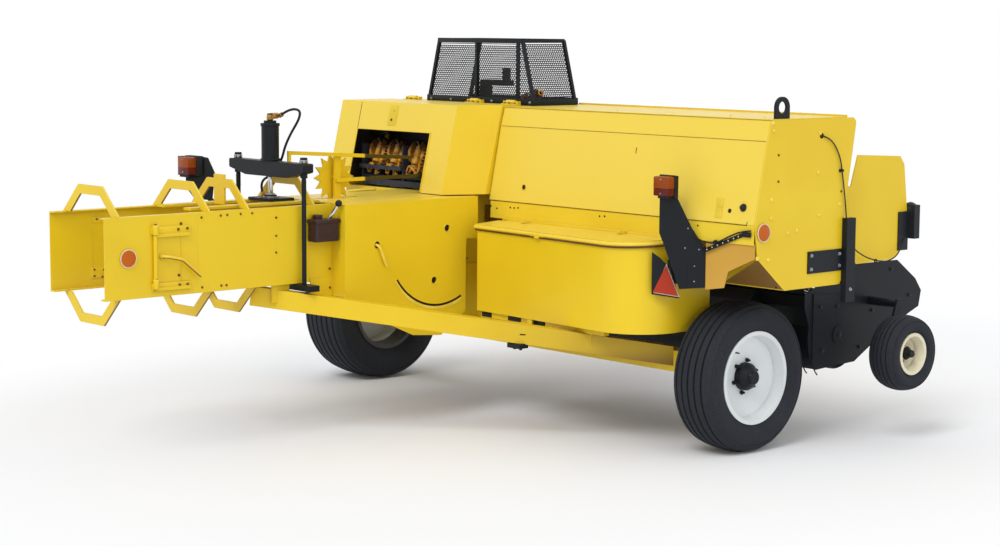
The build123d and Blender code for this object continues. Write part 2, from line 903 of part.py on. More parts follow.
with BuildPart() as twine_lid:
    box_plan(-lid_lap, 900, 300)
    low_rim = rim_at(-600) + seat_gap
    high_rim = rim_at(0) + seat_gap
    prism(
        side(box_left - 40),
        ((-600, 800), (0, 800), (0, high_rim), (-600, low_rim)),
        box_right - box_left + 80,
        mode=Mode.SUBTRACT,
    )
    prism(
        side(box_left - 40),
        (
            (-600, low_rim + lid_thick),
            (0, high_rim + lid_thick),
            (0, 1300),
            (-600, 1300),
        ),
        box_right - box_left + 80,
        mode=Mode.SUBTRACT,
    )
    lid_front = lid_hinge_y + 9
    block((400, 1700), (lid_front, 0), (800, 1300), mode=Mode.SUBTRACT)
    for end in (box_left + sheet + 6, box_right - sheet - 6):
        block((end - 30, end + 30), (lid_hinge_y - 12, 0), (800, 1300), mode=Mode.SUBTRACT)
    for x in (640, 1300):
        block((x - 20, x + 20), (lid_hinge_y - 36, 0), (800, 1300), mode=Mode.SUBTRACT)
        rod(
            (x - 60, lid_hinge_y, pin_z),
            (x + 60, lid_hinge_y, pin_z),
            4 + running_fit,
            mode=Mode.SUBTRACT,
        )
nodes["twine_lid"] = twine_lid

# Stalks and arms that carry the lamps
with BuildPart() as lamp_stalks:
    stalk = Plane(
        origin=spot(1672, -394, 0),
        x_dir=(1, 1, 0),
        z_dir=(1, -1, 0),
    )
    prism(
        stalk,
        (
            (-43, 1186),
            (-43, 1030),
            (-21, 976),
            (51, 776),
            (176, 785),
            (176, 945),
            (103, 1055),
            (38, 1186),
        ),
        6,
    )
    prism(
        side(1616),
        (
            (-338, 790),
            (wall_y - sheet, 748),
            (wall_y - sheet, 914),
            (-338, 900),
        ),
        8,
    )
    block((1616, 1738), (-338, -330), (795, 900))
    bar((1620, -100, 920), (2000, -235, 1050), 8, 40)
    block((1985, 2000), (-240, -222.8), (1035, 1065))
    badge = Plane(
        origin=spot(1640, -359, 783),
        x_dir=(1, 1, 0),
        z_dir=(1, -1, 0),
    )
    prism(badge, ((-75, -38), (52, -56), (10, 80), (-40, 130), (-75, 155)), 3)
    block((1616, 1624), (-377, -305), (790, 850))
    block((-half - 6, -half), (-1035, -985), (975, 1025))
    rod((-half - 2, -1010, 1000), (-1000, -1025, 1007), 14)
    rod((-1000, -1025, 1007), (-1000, -1160, 1157), 14)
    block((-1040, -960), (-1215, -1135), (1162, 1172))
nodes["lamp_stalks"] = lamp_stalks

with BuildPart() as lamp_housings:
    block((1610, 1706), (-393, -372), (1186, 1288))
    block((1632, 1694), (-427, -393), (1186, 1196))
    block((-1046, -954), (-1222, -1128), (1172, 1270))
    block((2006, 2012), (838, 912), (895, 1080))
    block((1990, 2048), (912, 966), (950, 1112))
    fillet(lamp_housings.faces().sort_by(Axis.Y)[-1].edges(), 18)
nodes["lamp_housings"] = lamp_housings

with BuildPart() as lamp_lenses:
    block((1612, 1704), (-437, -393), (1196, 1284))
    block((-1040, -960), (-1232, -1222), (1178, 1264))
nodes["lamp_lenses"] = lamp_lenses

with BuildPart() as red_triangle:
    prism(badge.offset(3), ((-69, -28), (47, -45), (-10, 96)), 4)
nodes["red_triangle"] = red_triangle

with BuildPart() as amber_reflectors:
    rod((half, -2324, 923), (half + 7, -2324, 923), 38)
    rod((house_right + 2, -237, 1053), (house_right + 9, -237, 1053), 38)
nodes["amber_reflectors"] = amber_reflectors

with BuildPart() as side_post:
    block((house_right + 2, house_right + 32), (312, 374), (701, 1088))
    block((house_right + 2, house_right + 8), (70, 312), (848, 948))
nodes["side_post"] = side_post

with BuildPart() as front_shield:
    prism(
        side(2000),
        (
            (326, 1225),
            (477, 1221),
            (523, 1364),
            (845, 1347),
            (877, 1307),
            (908, 1081),
            (846, 1079),
            (854, 891),
            (806, 856),
            (529, 852),
            (324.3, 1104),
        ),
        plate,
    )
nodes["front_shield"] = front_shield

# Gearbox ahead of the bale chamber, with the flywheel shaft
with BuildPart() as gearbox:
    block((-190, 90), (1190, 1490), (790, 1150))
    fillet(gearbox.edges().filter_by(Axis.Z), 30)
    rod((-50, 1340, 1150), (-50, 1340, 1180), 95)
    rod((-229, 1300, 960), (229, 1300, 960), 40)
    rod((-50, 1480, drive_z), (-50, flywheel_y - 50, drive_z), 60)
    rod((-50, 1480, drive_z), (-50, flywheel_y + 40, drive_z), 25)
nodes["gearbox"] = gearbox

with BuildPart() as flywheel_guard:
    with BuildSketch(across(chamber_front + 6)) as back:
        with Locations((-50, drive_z)):
            Circle(flywheel_radius + 30)
            Rectangle(200, 60, align=(Align.CENTER, Align.MIN))
            Circle(64, mode=Mode.SUBTRACT)
        with Locations((-50, drive_z - 160)):
            Rectangle(800, 320, align=(Align.CENTER, Align.MAX), mode=Mode.SUBTRACT)
    extrude(back.sketch, amount=6)
    with BuildSketch(across(flywheel_y + 60)) as hoop:
        with Locations((-50, drive_z)):
            Circle(flywheel_radius + 30)
            Circle(flywheel_radius + 26, mode=Mode.SUBTRACT)
        with Locations((-50, drive_z - 160)):
            Rectangle(800, 320, align=(Align.CENTER, Align.MAX), mode=Mode.SUBTRACT)
    extrude(hoop.sketch, amount=flywheel_y + 60 - chamber_front)
nodes["flywheel_guard"] = flywheel_guard

with BuildPart() as flywheel:
    with BuildSketch(side(-50)) as section:
        with BuildLine():
            Polyline(
                (flywheel_y - 45, drive_z + 25 + running_fit),
                (flywheel_y - 45, drive_z + 70),
                (flywheel_y - 12, drive_z + 80),
                (flywheel_y - 12, drive_z + flywheel_radius - 50),
                (flywheel_y - 35, drive_z + flywheel_radius - 50),
                (flywheel_y - 35, drive_z + flywheel_radius),
                (flywheel_y + 35, drive_z + flywheel_radius),
                (flywheel_y + 35, drive_z + flywheel_radius - 50),
                (flywheel_y + 12, drive_z + flywheel_radius - 50),
                (flywheel_y + 12, drive_z + 80),
                (flywheel_y + 45, drive_z + 70),
                (flywheel_y + 45, drive_z + 25 + running_fit),
                close=True,
            )
        make_face()
    revolve(section.sketch, axis=Axis(spot(-50, flywheel_y, drive_z), (0, 1, 0)))
    rod((-50, flywheel_y + 44, drive_z), (-50, hinge_y - joint_ball - 0.5, drive_z), 34)
nodes["flywheel"] = flywheel

with BuildPart() as plunger:
    block((-half + plate, half - plate), (380, 760), (751, 1092))
    block((-60, 60), (760, 1150), (900, 960))
nodes["plunger"] = plunger

# Needle yoke that hangs under the chamber
with BuildPart() as needles:
    swing = (-620.6, 897.9)
    for x in (-258, 246):
        prism(
            side(x),
            (
                (swing[0] - 30, swing[1]),
                (swing[0] + 30, swing[1]),
                (-770, 500),
                (-830, 500),
            ),
            12,
        )
        disc(side(x), swing, 42, 12)
    for x, end in ((-half, -246), (half, 246)):
        rod((x, swing[0], swing[1]), (end, swing[0], swing[1]), 24)
    rod((-258, -800, 510), (258, -800, 510), 22)
    for x in (-98, 82):
        with BuildSketch(side(x)) as needle:
            with BuildLine():
                CenterArc(swing, 430, 204, 44)
            trace(line_width=30)
        extrude(needle.sketch, amount=16)
nodes["needles"] = needles

# Frame that holds the tongue's upright hinge pin
with BuildPart() as hinge_frame:
    block((-120, 20), (1000, 1530), (648, chamber_bottom))
    block((-228, 228), (1000, 1060), (chamber_bottom - 60, chamber_bottom))
    block((-120, 20), (1490, 1530), (476, chamber_bottom))
    for low in (476, 632):
        block((-120, 20), (1490, hinge_y), (low, low + 12))
        rod((-50, hinge_y, low), (-50, hinge_y, low + 12), 70)
    rod((-50, hinge_y, 460), (-50, hinge_y, 660), hinge_pin)
nodes["hinge_frame"] = hinge_frame


def along(distance, aside, z):
    """A place on the tongue, measured from its hinge pin along and to the left of the beam"""
    turn = radians(tongue_angle)
    return (
        -50 - distance * sin(turn) - aside * cos(turn),
        hinge_y + distance * cos(turn) - aside * sin(turn),
        z,
    )


with BuildPart() as tongue:
    bar(along(40, 0, tongue_z), along(tongue_length, 0, tongue_z), tongue_width, tongue_height)
    block((-140, 40), (1600, 1840), (480, 488 + seat_gap), mode=Mode.SUBTRACT)
    rod(along(0, 0, 488 + seat_gap), along(0, 0, 632 - seat_gap), 56)
    rod(
        along(0, 0, 400),
        along(0, 0, 700),
        hinge_pin + running_fit,
        mode=Mode.SUBTRACT,
    )
    for low in (tongue_z - 60, tongue_z + 42):
        bar(
            along(tongue_length, 0, low + 9),
            along(tongue_length + 110, 0, low + 9),
            90,
            18,
        )
    rod(
        along(tongue_length + 70, 0, 300),
        along(tongue_length + 70, 0, 800),
        hitch_pin,
        mode=Mode.SUBTRACT,
    )
    bar(
        along(jack_along, tongue_width / 2, tongue_z),
        along(jack_along, jack_aside - jack_tube / 2, tongue_z),
        90,
        90,
    )
    guard_low = drive_z - 620 * sin(radians(drive_fall)) - guard_radius - 2
    bar(along(620, 0, tongue_z + 55), along(620, 0, guard_low), 40, 12)
nodes["tongue"] = tongue

with BuildPart() as jack_tube_part:
    low = along(jack_along, jack_aside, 400)
    high = along(jack_along, jack_aside, 905)
    for size, mode in ((jack_tube, Mode.ADD), (jack_leg_size + 0.2, Mode.SUBTRACT)):
        with BuildSketch(Plane(origin=spot(*low), z_dir=(0, 0, 1))) as square:
            Rectangle(size, size, rotation=tongue_angle)
        extrude(square.sketch, amount=high[2] - low[2], mode=mode)
nodes["jack_tube"] = jack_tube_part

with BuildPart() as jack_leg:
    foot = along(jack_along, jack_aside, 0)
    with BuildSketch(Plane(origin=spot(*foot), z_dir=(0, 0, 1))) as square:
        Rectangle(jack_leg_size, jack_leg_size, rotation=tongue_angle)
    extrude(square.sketch, amount=530)
    with BuildSketch(Plane(origin=spot(*foot), z_dir=(0, 0, 1))) as square:
        Rectangle(190, 150, rotation=tongue_angle)
    extrude(square.sketch, amount=10)
nodes["jack_leg"] = jack_leg


def drive_at(distance):
    """A place on the driveline, which slopes down towards the tractor"""
    return along(distance, 0, drive_z - distance * sin(radians(drive_fall)))


with BuildPart() as driveline_guard:
    rod(drive_at(190), drive_at(1330), guard_radius)
    rod(drive_at(190), drive_at(1330), 44, mode=Mode.SUBTRACT)
nodes["driveline_guard"] = driveline_guard

with BuildPart() as driveline_shaft:
    rod(drive_at(0), drive_at(1560), 32)
    with Locations(spot(*drive_at(0))):
        Sphere(joint_ball)
    rod(drive_at(60), drive_at(170), 52)
    rod(drive_at(1350), drive_at(1560), 46)
    rod(drive_at(1480), drive_at(1560), 17.5, mode=Mode.SUBTRACT)
nodes["driveline_shaft"] = driveline_shaft

# Main wheels
with BuildPart() as right_tyre:
    round_tyre(
        right_wheel_x,
        0,
        right_wheel_radius,
        right_wheel_radius,
        right_tyre_width,
        right_rim_radius,
        98,
    )
nodes["right_tyre"] = right_tyre
with BuildPart() as left_tyre:
    round_tyre(
        left_wheel_x,
        0,
        left_wheel_radius,
        left_wheel_radius,
        left_tyre_width,
        left_rim_radius,
        128,
    )
nodes["left_tyre"] = left_tyre
with BuildPart() as right_rim:
    dished_rim(
        right_wheel_x,
        0,
        right_wheel_radius,
        right_rim_radius,
        98,
        45,
        1,
        hub_radius,
        spindle_radius,
    )
nodes["right_rim"] = right_rim
with BuildPart() as left_rim:
    dished_rim(
        left_wheel_x,
        0,
        left_wheel_radius,
        left_rim_radius,
        128,
        60,
        -1,
        hub_radius,
        spindle_radius,
    )
nodes["left_rim"] = left_rim

# Pickup: side plates, cross tube, rear arm and the gauge wheel's axle
with BuildPart() as pickup_frame:
    prism(
        side(pickup_left),
        (
            (pivot_y - 30, pivot_z - 22),
            (pivot_y - 30, pivot_z + 22),
            (pivot_y, pivot_z + 32),
            (350, 705),
            (421, 715),
            (650, 750),
            (670, 800),
            (712, 800),
            (760, 740),
            (863, 659),
            (890, 450),
            (724, 352),
            (626, 348),
            (430, 372),
        ),
        plate,
    )
    prism(
        side(1556),
        (
            (pivot_y - 30, pivot_z - 22),
            (pivot_y - 30, pivot_z + 22),
            (pivot_y, pivot_z + 32),
            (360, 700),
            (385, 650),
            (370, 600),
            (pivot_y, pivot_z - 32),
        ),
        plate,
    )
    prism(
        side(pickup_right - 12),
        (
            (352, 640),
            (352, 705),
            (430, 735),
            (719, 824),
            (1050, 822),
            (1198, 720),
            (1247, 657),
            (1230, 579),
            (1143, 547),
            (890, 450),
            (724, 352),
            (626, 348),
            (444, 339),
            (420, 368),
            (400, 402),
            (387, 438),
            (380, 495),
            (386, 553),
        ),
        plate,
    )
    prism(
        side(pickup_right - 6),
        (
            (410, 378),
            (410, 705),
            (863, 659),
            (887, 472),
            (888, 440),
            (724, 352),
            (626, 348),
        ),
        plate,
    )
    block((pickup_left, pickup_right - 6), (360, 410), (650, 700))
    with BuildSketch(side(pickup_left)) as pan:
        with BuildLine():
            rear_arc = CenterArc((reel_y, reel_z), pan_radius + 1.5, 165, 60)
            Polyline(rear_arc @ 0, (357, 640), (357, 700))
        trace(line_width=3)
    extrude(pan.sketch, amount=pickup_right - 12 - pickup_left)
    for low, high in ((pickup_left - 8, pickup_left + 14), (1548, 1568)):
        rod((low, pivot_y, pivot_z), (high, pivot_y, pivot_z), 26)
    rod((300, pivot_y, pivot_z), (1700, pivot_y, pivot_z), pivot_pin + running_fit, mode=Mode.SUBTRACT)
    for low, high in ((pickup_left - 2, pickup_left + 12), (pickup_right - 18, pickup_right + 4)):
        rod((low, reel_y, reel_z), (high, reel_y, reel_z), 45)
    rod((300, reel_y, reel_z), (1900, reel_y, reel_z), reel_shaft + running_fit, mode=Mode.SUBTRACT)
    rod(
        (300, *guard_hinge),
        (1900, *guard_hinge),
        8 + running_fit,
        mode=Mode.SUBTRACT,
    )
    rod((pickup_right, 830, 640), (gauge_x - 85, 830, 640), 20)
    prism(
        side(gauge_x - 97),
        (
            (gauge_y - 24, gauge_z - 24),
            (gauge_y + 24, gauge_z - 24),
            (856, 640),
            (846, 668),
            (808, 664),
        ),
        12,
    )
    rod((gauge_x - 97, gauge_y, gauge_z), (gauge_x + 38, gauge_y, gauge_z), 14)
    rod((lift_x - 22, *lift_eye), (pickup_left + 1, *lift_eye), eye_pin)
nodes["pickup_frame"] = pickup_frame

column_start = (pickup_left + pickup_right - 6) / 2 - (tine_columns - 1) * tine_pitch / 2
with BuildPart() as pickup_strippers:
    for column in range(tine_columns + 1):
        x = column_start + (column - 0.5) * tine_pitch
        with BuildSketch(side(x - stripper_width / 2)) as band:
            with BuildLine():
                round_part = CenterArc((reel_y, reel_z), stripper_radius, -110, 181.2)
                Line(round_part @ 1, (333, 760))
            trace(line_width=3)
        extrude(band.sketch, amount=stripper_width)
    prism(
        side(pickup_left + plate),
        ((329, 763), (335, 763), (368, 700), (362, 700)),
        pickup_right - 12 - pickup_left - plate,
    )
nodes["pickup_strippers"] = pickup_strippers

with BuildPart() as pickup_reel:
    rod((pickup_left - 2, reel_y, reel_z), (pickup_right + 4, reel_y, reel_z), reel_shaft)
    rod((pickup_left + 14, reel_y, reel_z), (pickup_right - 20, reel_y, reel_z), reel_tube)
    for arm in range(tine_bars):
        turn = 45 + arm * 360 / tine_bars
        y = reel_y + tine_bar_radius * cos(radians(turn))
        z = reel_z + tine_bar_radius * sin(radians(turn))
        rod((pickup_left + 16, y, z), (pickup_right - 22, y, z), 12)
        for x in (pickup_left + 16, (pickup_left + pickup_right) / 2, pickup_right - 30):
            with BuildSketch(side(x)) as web:
                with Locations(Location((reel_y, reel_z), turn)):
                    with Locations((tine_bar_radius / 2, 0)):
                        Rectangle(tine_bar_radius, 24)
            extrude(web.sketch, amount=8)
        for column in range(tine_columns):
            x = column_start + column * tine_pitch
            with BuildSketch(side(x - tine_size / 2)) as tine:
                with Locations(Location((reel_y, reel_z), turn)):
                    with Locations(((tine_bar_radius + tine_reach) / 2, 0)):
                        Rectangle(tine_reach - tine_bar_radius, tine_size)
            extrude(tine.sketch, amount=tine_size)
nodes["pickup_reel"] = pickup_reel

with BuildPart() as windguard:
    rod((pickup_left + 14, *guard_hinge), (pickup_right - 20, *guard_hinge), 14)
    rod((pickup_left - 2, *guard_hinge), (pickup_right - 4, *guard_hinge), 8)
    for x in range(430, 1830, 100):
        with BuildSketch(side(x - 5)) as finger:
            with BuildLine():
                Polyline(guard_hinge, (900, 770), (1080, 700), (1150, 600))
            trace(line_width=10)
        extrude(finger.sketch, amount=10)
nodes["windguard"] = windguard

with BuildPart() as gauge_tyre:
    round_tyre(gauge_x, gauge_y, gauge_z, gauge_radius, gauge_width, gauge_rim_radius, 60)
nodes["gauge_tyre"] = gauge_tyre
with BuildPart() as gauge_rim:
    dished_rim(gauge_x, gauge_y, gauge_z, gauge_rim_radius, 60, 12, 1, 34, 14, lip=8.0)
nodes["gauge_rim"] = gauge_rim

# Cylinder that lifts the pickup
top = (lift_x, *lift_top)
eye = (lift_x, *lift_eye)
lift_run = hypot(eye[1] - top[1], eye[2] - top[2])


def lift_at(distance):
    """A place on the lift cylinder's line, measured from its upper pin"""
    share = distance / lift_run
    return (lift_x, top[1] + (eye[1] - top[1]) * share, top[2] + (eye[2] - top[2]) * share)


with BuildPart() as lift_cylinder:
    rod(lift_at(20), lift_at(lift_barrel_length), lift_barrel_radius)
    disc(side(lift_x - 12), lift_top, 26, 24)
    rod((lift_x - 30, *lift_top), (lift_x + 30, *lift_top), lift_pin + running_fit, mode=Mode.SUBTRACT)
    rod(
        lift_at(lift_run - lift_rod_length - 10),
        lift_at(lift_barrel_length + 10),
        lift_rod_radius + running_fit,
        mode=Mode.SUBTRACT,
    )
nodes["lift_cylinder"] = lift_cylinder

with BuildPart() as lift_rod:
    rod(lift_at(lift_run - lift_rod_length), lift_at(lift_run - 24), lift_rod_radius)
    disc(side(lift_x - 10), lift_eye, 30, 20)
    disc(side(lift_x - 20), lift_eye, eye_bore, 40, mode=Mode.SUBTRACT)
nodes["lift_rod"] = lift_rod

for node, builder in nodes.items():
    builder.part.label = node
    export_step(builder.part, f"parts/{node}.step")
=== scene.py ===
import json
import math

import bmesh
import bpy
from mathutils import Matrix, Vector


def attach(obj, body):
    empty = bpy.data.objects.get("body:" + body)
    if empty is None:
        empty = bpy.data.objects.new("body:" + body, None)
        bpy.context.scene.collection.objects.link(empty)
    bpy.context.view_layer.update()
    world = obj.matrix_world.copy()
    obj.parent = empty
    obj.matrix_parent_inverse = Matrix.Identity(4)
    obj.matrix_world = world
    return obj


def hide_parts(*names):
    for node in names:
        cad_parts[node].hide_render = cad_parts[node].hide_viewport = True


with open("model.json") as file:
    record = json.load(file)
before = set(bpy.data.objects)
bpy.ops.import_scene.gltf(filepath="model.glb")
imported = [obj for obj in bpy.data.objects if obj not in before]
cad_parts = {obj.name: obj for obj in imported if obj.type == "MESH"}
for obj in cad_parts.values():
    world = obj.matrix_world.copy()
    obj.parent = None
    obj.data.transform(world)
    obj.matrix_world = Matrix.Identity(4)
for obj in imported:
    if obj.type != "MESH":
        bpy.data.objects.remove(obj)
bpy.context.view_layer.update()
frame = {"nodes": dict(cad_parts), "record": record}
nodes = frame["nodes"]

# The machine's own places, in millimetres: x to the right of the bale chamber's centre line,
# y ahead of the main wheels, z above the ground
CHAMBER_X = -537.5
AXLE_Y = -486.4


def spot(x, y, z):
    """A place of the machine, in millimetres, in the part's frame"""
    return Vector((CHAMBER_X + x, AXLE_Y + y, z)) / 1000


def linked(piece):
    """Links a new object to the scene"""
    bpy.context.scene.collection.objects.link(piece)
    return piece


# ---- materials


class Value:
    """A shader socket that takes part in arithmetic"""

    def __init__(self, finish, socket):
        self.finish = finish
        self.socket = socket

    def maths(self, operation, *terms):
        node = self.finish.node("ShaderNodeMath", {"operation": operation}, dict(enumerate(terms)))
        return Value(self.finish, node.outputs[0])

    def __add__(self, other):
        return self.maths("ADD", self, other)

    def __radd__(self, other):
        return self.maths("ADD", other, self)

    def __sub__(self, other):
        return self.maths("SUBTRACT", self, other)

    def __rsub__(self, other):
        return self.maths("SUBTRACT", other, self)

    def __mul__(self, other):
        return self.maths("MULTIPLY", self, other)

    def __rmul__(self, other):
        return self.maths("MULTIPLY", other, self)

    def most(self, other):
        return self.maths("MAXIMUM", self, other)

    def sine(self):
        return self.maths("SINE", self)

    def band(self, low, high, out_low=0.0, out_high=1.0):
        """Smooth change from out_low to out_high as this goes from low to high"""
        node = self.finish.node(
            "ShaderNodeMapRange",
            {"interpolation_type": "SMOOTHSTEP"},
            {
                "Value": self, "From Min": low, "From Max": high, "To Min": out_low,
                "To Max": out_high,
            },
        )
        return Value(self.finish, node.outputs["Result"])


class Tree:
    """A node tree with one method that adds a node of any type"""

    def __init__(self, tree):
        self.tree = tree

    def node(self, kind, settings, inputs):
        made = self.tree.nodes.new(kind)
        for name, value in settings.items():
            setattr(made, name, value)
        for name, value in inputs.items():
            socket = made.inputs[name]
            if isinstance(value, Value):
                value = value.socket
            if isinstance(value, bpy.types.NodeSocket):
                self.tree.links.new(value, socket)
            else:
                socket.default_value = value
        return made


class Finish(Tree):
    """A material with one Principled shader and helpers for its textures"""

    def __init__(self, name):
        self.material = bpy.data.materials.new(name)
        self.material.use_nodes = True
        super().__init__(self.material.node_tree)
        self.shader = self.tree.nodes["Principled BSDF"]
        self.place = self.node("ShaderNodeTexCoord", {}, {}).outputs["Object"]

    def set(self, **values):
        for name, value in values.items():
            self.shader.inputs[name.replace("_", " ")].default_value = value

    def noise(self, scale, detail=3.0):
        inputs = {"Vector": self.place, "Scale": scale, "Detail": detail}
        node = self.node("ShaderNodeTexNoise", {}, inputs)
        return Value(self, node.outputs["Fac"])

    def axis(self, letter):
        node = self.node("ShaderNodeSeparateXYZ", {}, {0: self.place})
        return Value(self, node.outputs[letter])

    def facing_up(self):
        """How far the surface faces up, from -1 to 1"""
        normal = self.node("ShaderNodeNewGeometry", {}, {}).outputs["Normal"]
        node = self.node("ShaderNodeSeparateXYZ", {}, {0: normal})
        return Value(self, node.outputs["Z"])

    def mix(self, factor, first, second):
        """Colour between two colours; a colour is an sRGB tuple from 0 to 255, or a socket"""
        node = self.node("ShaderNodeMix", {"data_type": "RGBA"}, {"Factor": factor})
        for name, colour in (("A", first), ("B", second)):
            socket = [i for i in node.inputs if i.name == name and i.type == "RGBA"][0]
            if isinstance(colour, tuple):
                socket.default_value = srgb(*colour) + (1.0,)
            else:
                self.tree.links.new(colour, socket)
        return [o for o in node.outputs if o.type == "RGBA"][0]

    def colour(self, socket):
        self.tree.links.new(socket, self.shader.inputs["Base Color"])

    def roughness(self, value):
        self.tree.links.new(value.socket, self.shader.inputs["Roughness"])

    def bump(self, height, strength, distance=0.001, soft_edge=0.0):
        inputs = {"Strength": strength, "Distance": distance, "Height": height}
        if soft_edge:
            bevel = self.node("ShaderNodeBevel", {"samples": 4}, {"Radius": soft_edge})
            inputs["Normal"] = bevel.outputs["Normal"]
        node = self.node("ShaderNodeBump", {}, inputs)
        self.tree.links.new(node.outputs["Normal"], self.shader.inputs["Normal"])


def srgb(red, green, blue):
    """Linear colour of an sRGB colour given from 0 to 255"""
    parts = []
    for level in (red, green, blue):
        level /= 255
        parts.append(level / 12.92 if level <= 0.04045 else ((level + 0.055) / 1.055) ** 2.4)
    return tuple(parts)


def painted(
    name, main, shade, dust, rough=0.36, shine=0.3, under=None, mask=None, patch=2.3, sheen=None
):
    """Sprayed paint: slow colour drift, orange peel, dust on faces that look up, dull low parts, a
    painted sky sheen on faces that tilt up and painted shade below
    """
    finish = Finish(name)
    drift = finish.noise(patch, 2.0)
    grain = finish.noise(60.0, 4.0)
    low = finish.axis("Z").band(0.35, 0.95, 1.0, 0.0)
    settled = finish.facing_up().band(0.55, 0.95) * finish.noise(7.0, 5.0).band(0.35, 0.75)
    film = (settled * 0.5 + low * grain.band(0.45, 0.8) * 0.4) * 0.2
    tone = finish.mix(drift.band(0.3, 0.75), main, shade)
    # Painted sky reflection: faces that tilt up turn toward the sheen colour
    if sheen:
        tone = finish.mix(finish.facing_up().band(0.13, 0.19) * 0.6, tone, sheen)
    # Painted shade: faces that look down, and the places of the mask, turn toward the under colour
    if under:
        below = finish.facing_up().band(-0.62, -0.18, 1.0, 0.0)
        if mask:
            below = below.most(mask(finish))
        tone = finish.mix(below * 0.94, tone, under)
    finish.colour(finish.mix(film, tone, dust))
    finish.roughness(grain * 0.10 + film * 0.5 + (rough - 0.05))
    finish.set(Coat_Weight=0.06, Coat_Roughness=0.2, Specular_IOR_Level=shine)
    finish.bump(finish.noise(420.0, 2.0), 0.06, 0.0006, soft_edge=0.0022)
    return finish.material


def brace_shade(finish):
    """Painted shade: the brace darkens toward its far end under the box, most on its lower side"""
    along = finish.axis("X").band(0.10, 0.70)
    return along * finish.axis("Z").band(0.36, 0.47, 1.0, 0.35)


def gap_shade(finish):
    """Painted shade inside the sheet walls behind the shield and the hood"""
    return finish.axis("X").band(-0.192, -0.184, 1.0, 0.0)


def upper_shade(finish):
    """Painted shade on the knotters' upper halves, which lie under the hood"""
    height = finish.axis("Z")
    return height.band(1.26, 1.36) * height.band(1.5, 1.54, 1.0, 0.0)


def arm_end(finish):
    """The metering arm is black where it reaches into the hood's window"""
    return finish.axis("Y").band(-1.342, -1.330)


def rim_inner_shade(finish):
    """Painted shade on the left rim's inner side, which faces the machine"""
    return finish.axis("X").band(-1.466, -1.452)


def rubber():
    """Tyre rubber with patches of dry dust"""
    finish = Finish("rubber_tyre")
    grain = finish.noise(140.0, 3.0)
    film = finish.noise(5.0, 4.0).band(0.5, 0.85) * 0.22
    base = finish.mix(grain.band(0.3, 0.7), (33, 36, 42), (43, 46, 53))
    finish.colour(finish.mix(film, base, (78, 78, 78)))
    finish.roughness(grain * 0.2 + 0.6)
    finish.set(Specular_IOR_Level=0.2)
    finish.bump(grain, 0.12, 0.0008)
    return finish.material


def bare_metal(name, tone, dark, rough):
    """Metal with a fine brushed grain"""
    finish = Finish(name)
    brushed = finish.noise(90.0, 4.0)
    finish.colour(finish.mix(brushed.band(0.35, 0.7), tone, dark))
    finish.roughness(brushed * 0.15 + rough)
    finish.set(Metallic=1.0)
    finish.bump(brushed, 0.05, 0.0005, soft_edge=0.001)
    return finish.material


def plastic(name, main, shade, rough=0.45, grain_scale=260.0, shine=0.25):
    """Plastic, rubber and small painted parts with a fine grain"""
    finish = Finish(name)
    grain = finish.noise(grain_scale, 3.0)
    finish.colour(finish.mix(finish.noise(9.0, 3.0).band(0.3, 0.7), main, shade))
    finish.roughness(grain * 0.15 + rough)
    finish.set(Specular_IOR_Level=shine)
    finish.bump(grain, 0.1, 0.0004, soft_edge=0.0015)
    return finish.material


def lens(name, main, deep):
    """Moulded lens: rows of small prisms under a glossy face"""
    finish = Finish(name)
    ribs = (finish.axis("Z") * 900.0).sine() * 0.5 + 0.5
    finish.colour(finish.mix(ribs * 0.5 + finish.noise(12.0) * 0.5, main, deep))
    finish.set(Roughness=0.22, Coat_Weight=0.12, Coat_Roughness=0.08, Specular_IOR_Level=0.16)
    finish.bump(ribs, 0.25, 0.0006)
    return finish.material


YELLOW, YELLOW_DRIFT = (232, 199, 34), (226, 191, 30)
# Brown for painted shade on faces that look down, and a pale colour for a painted sky reflection on
# faces that tilt up
BROWN_SHADE = (118, 84, 48)
SHEEN = (240, 214, 92)
WHITE, WHITE_DRIFT = (228, 232, 233), (216, 222, 223)
DUST, WHITE_DIRT = (190, 162, 84), (170, 160, 140)

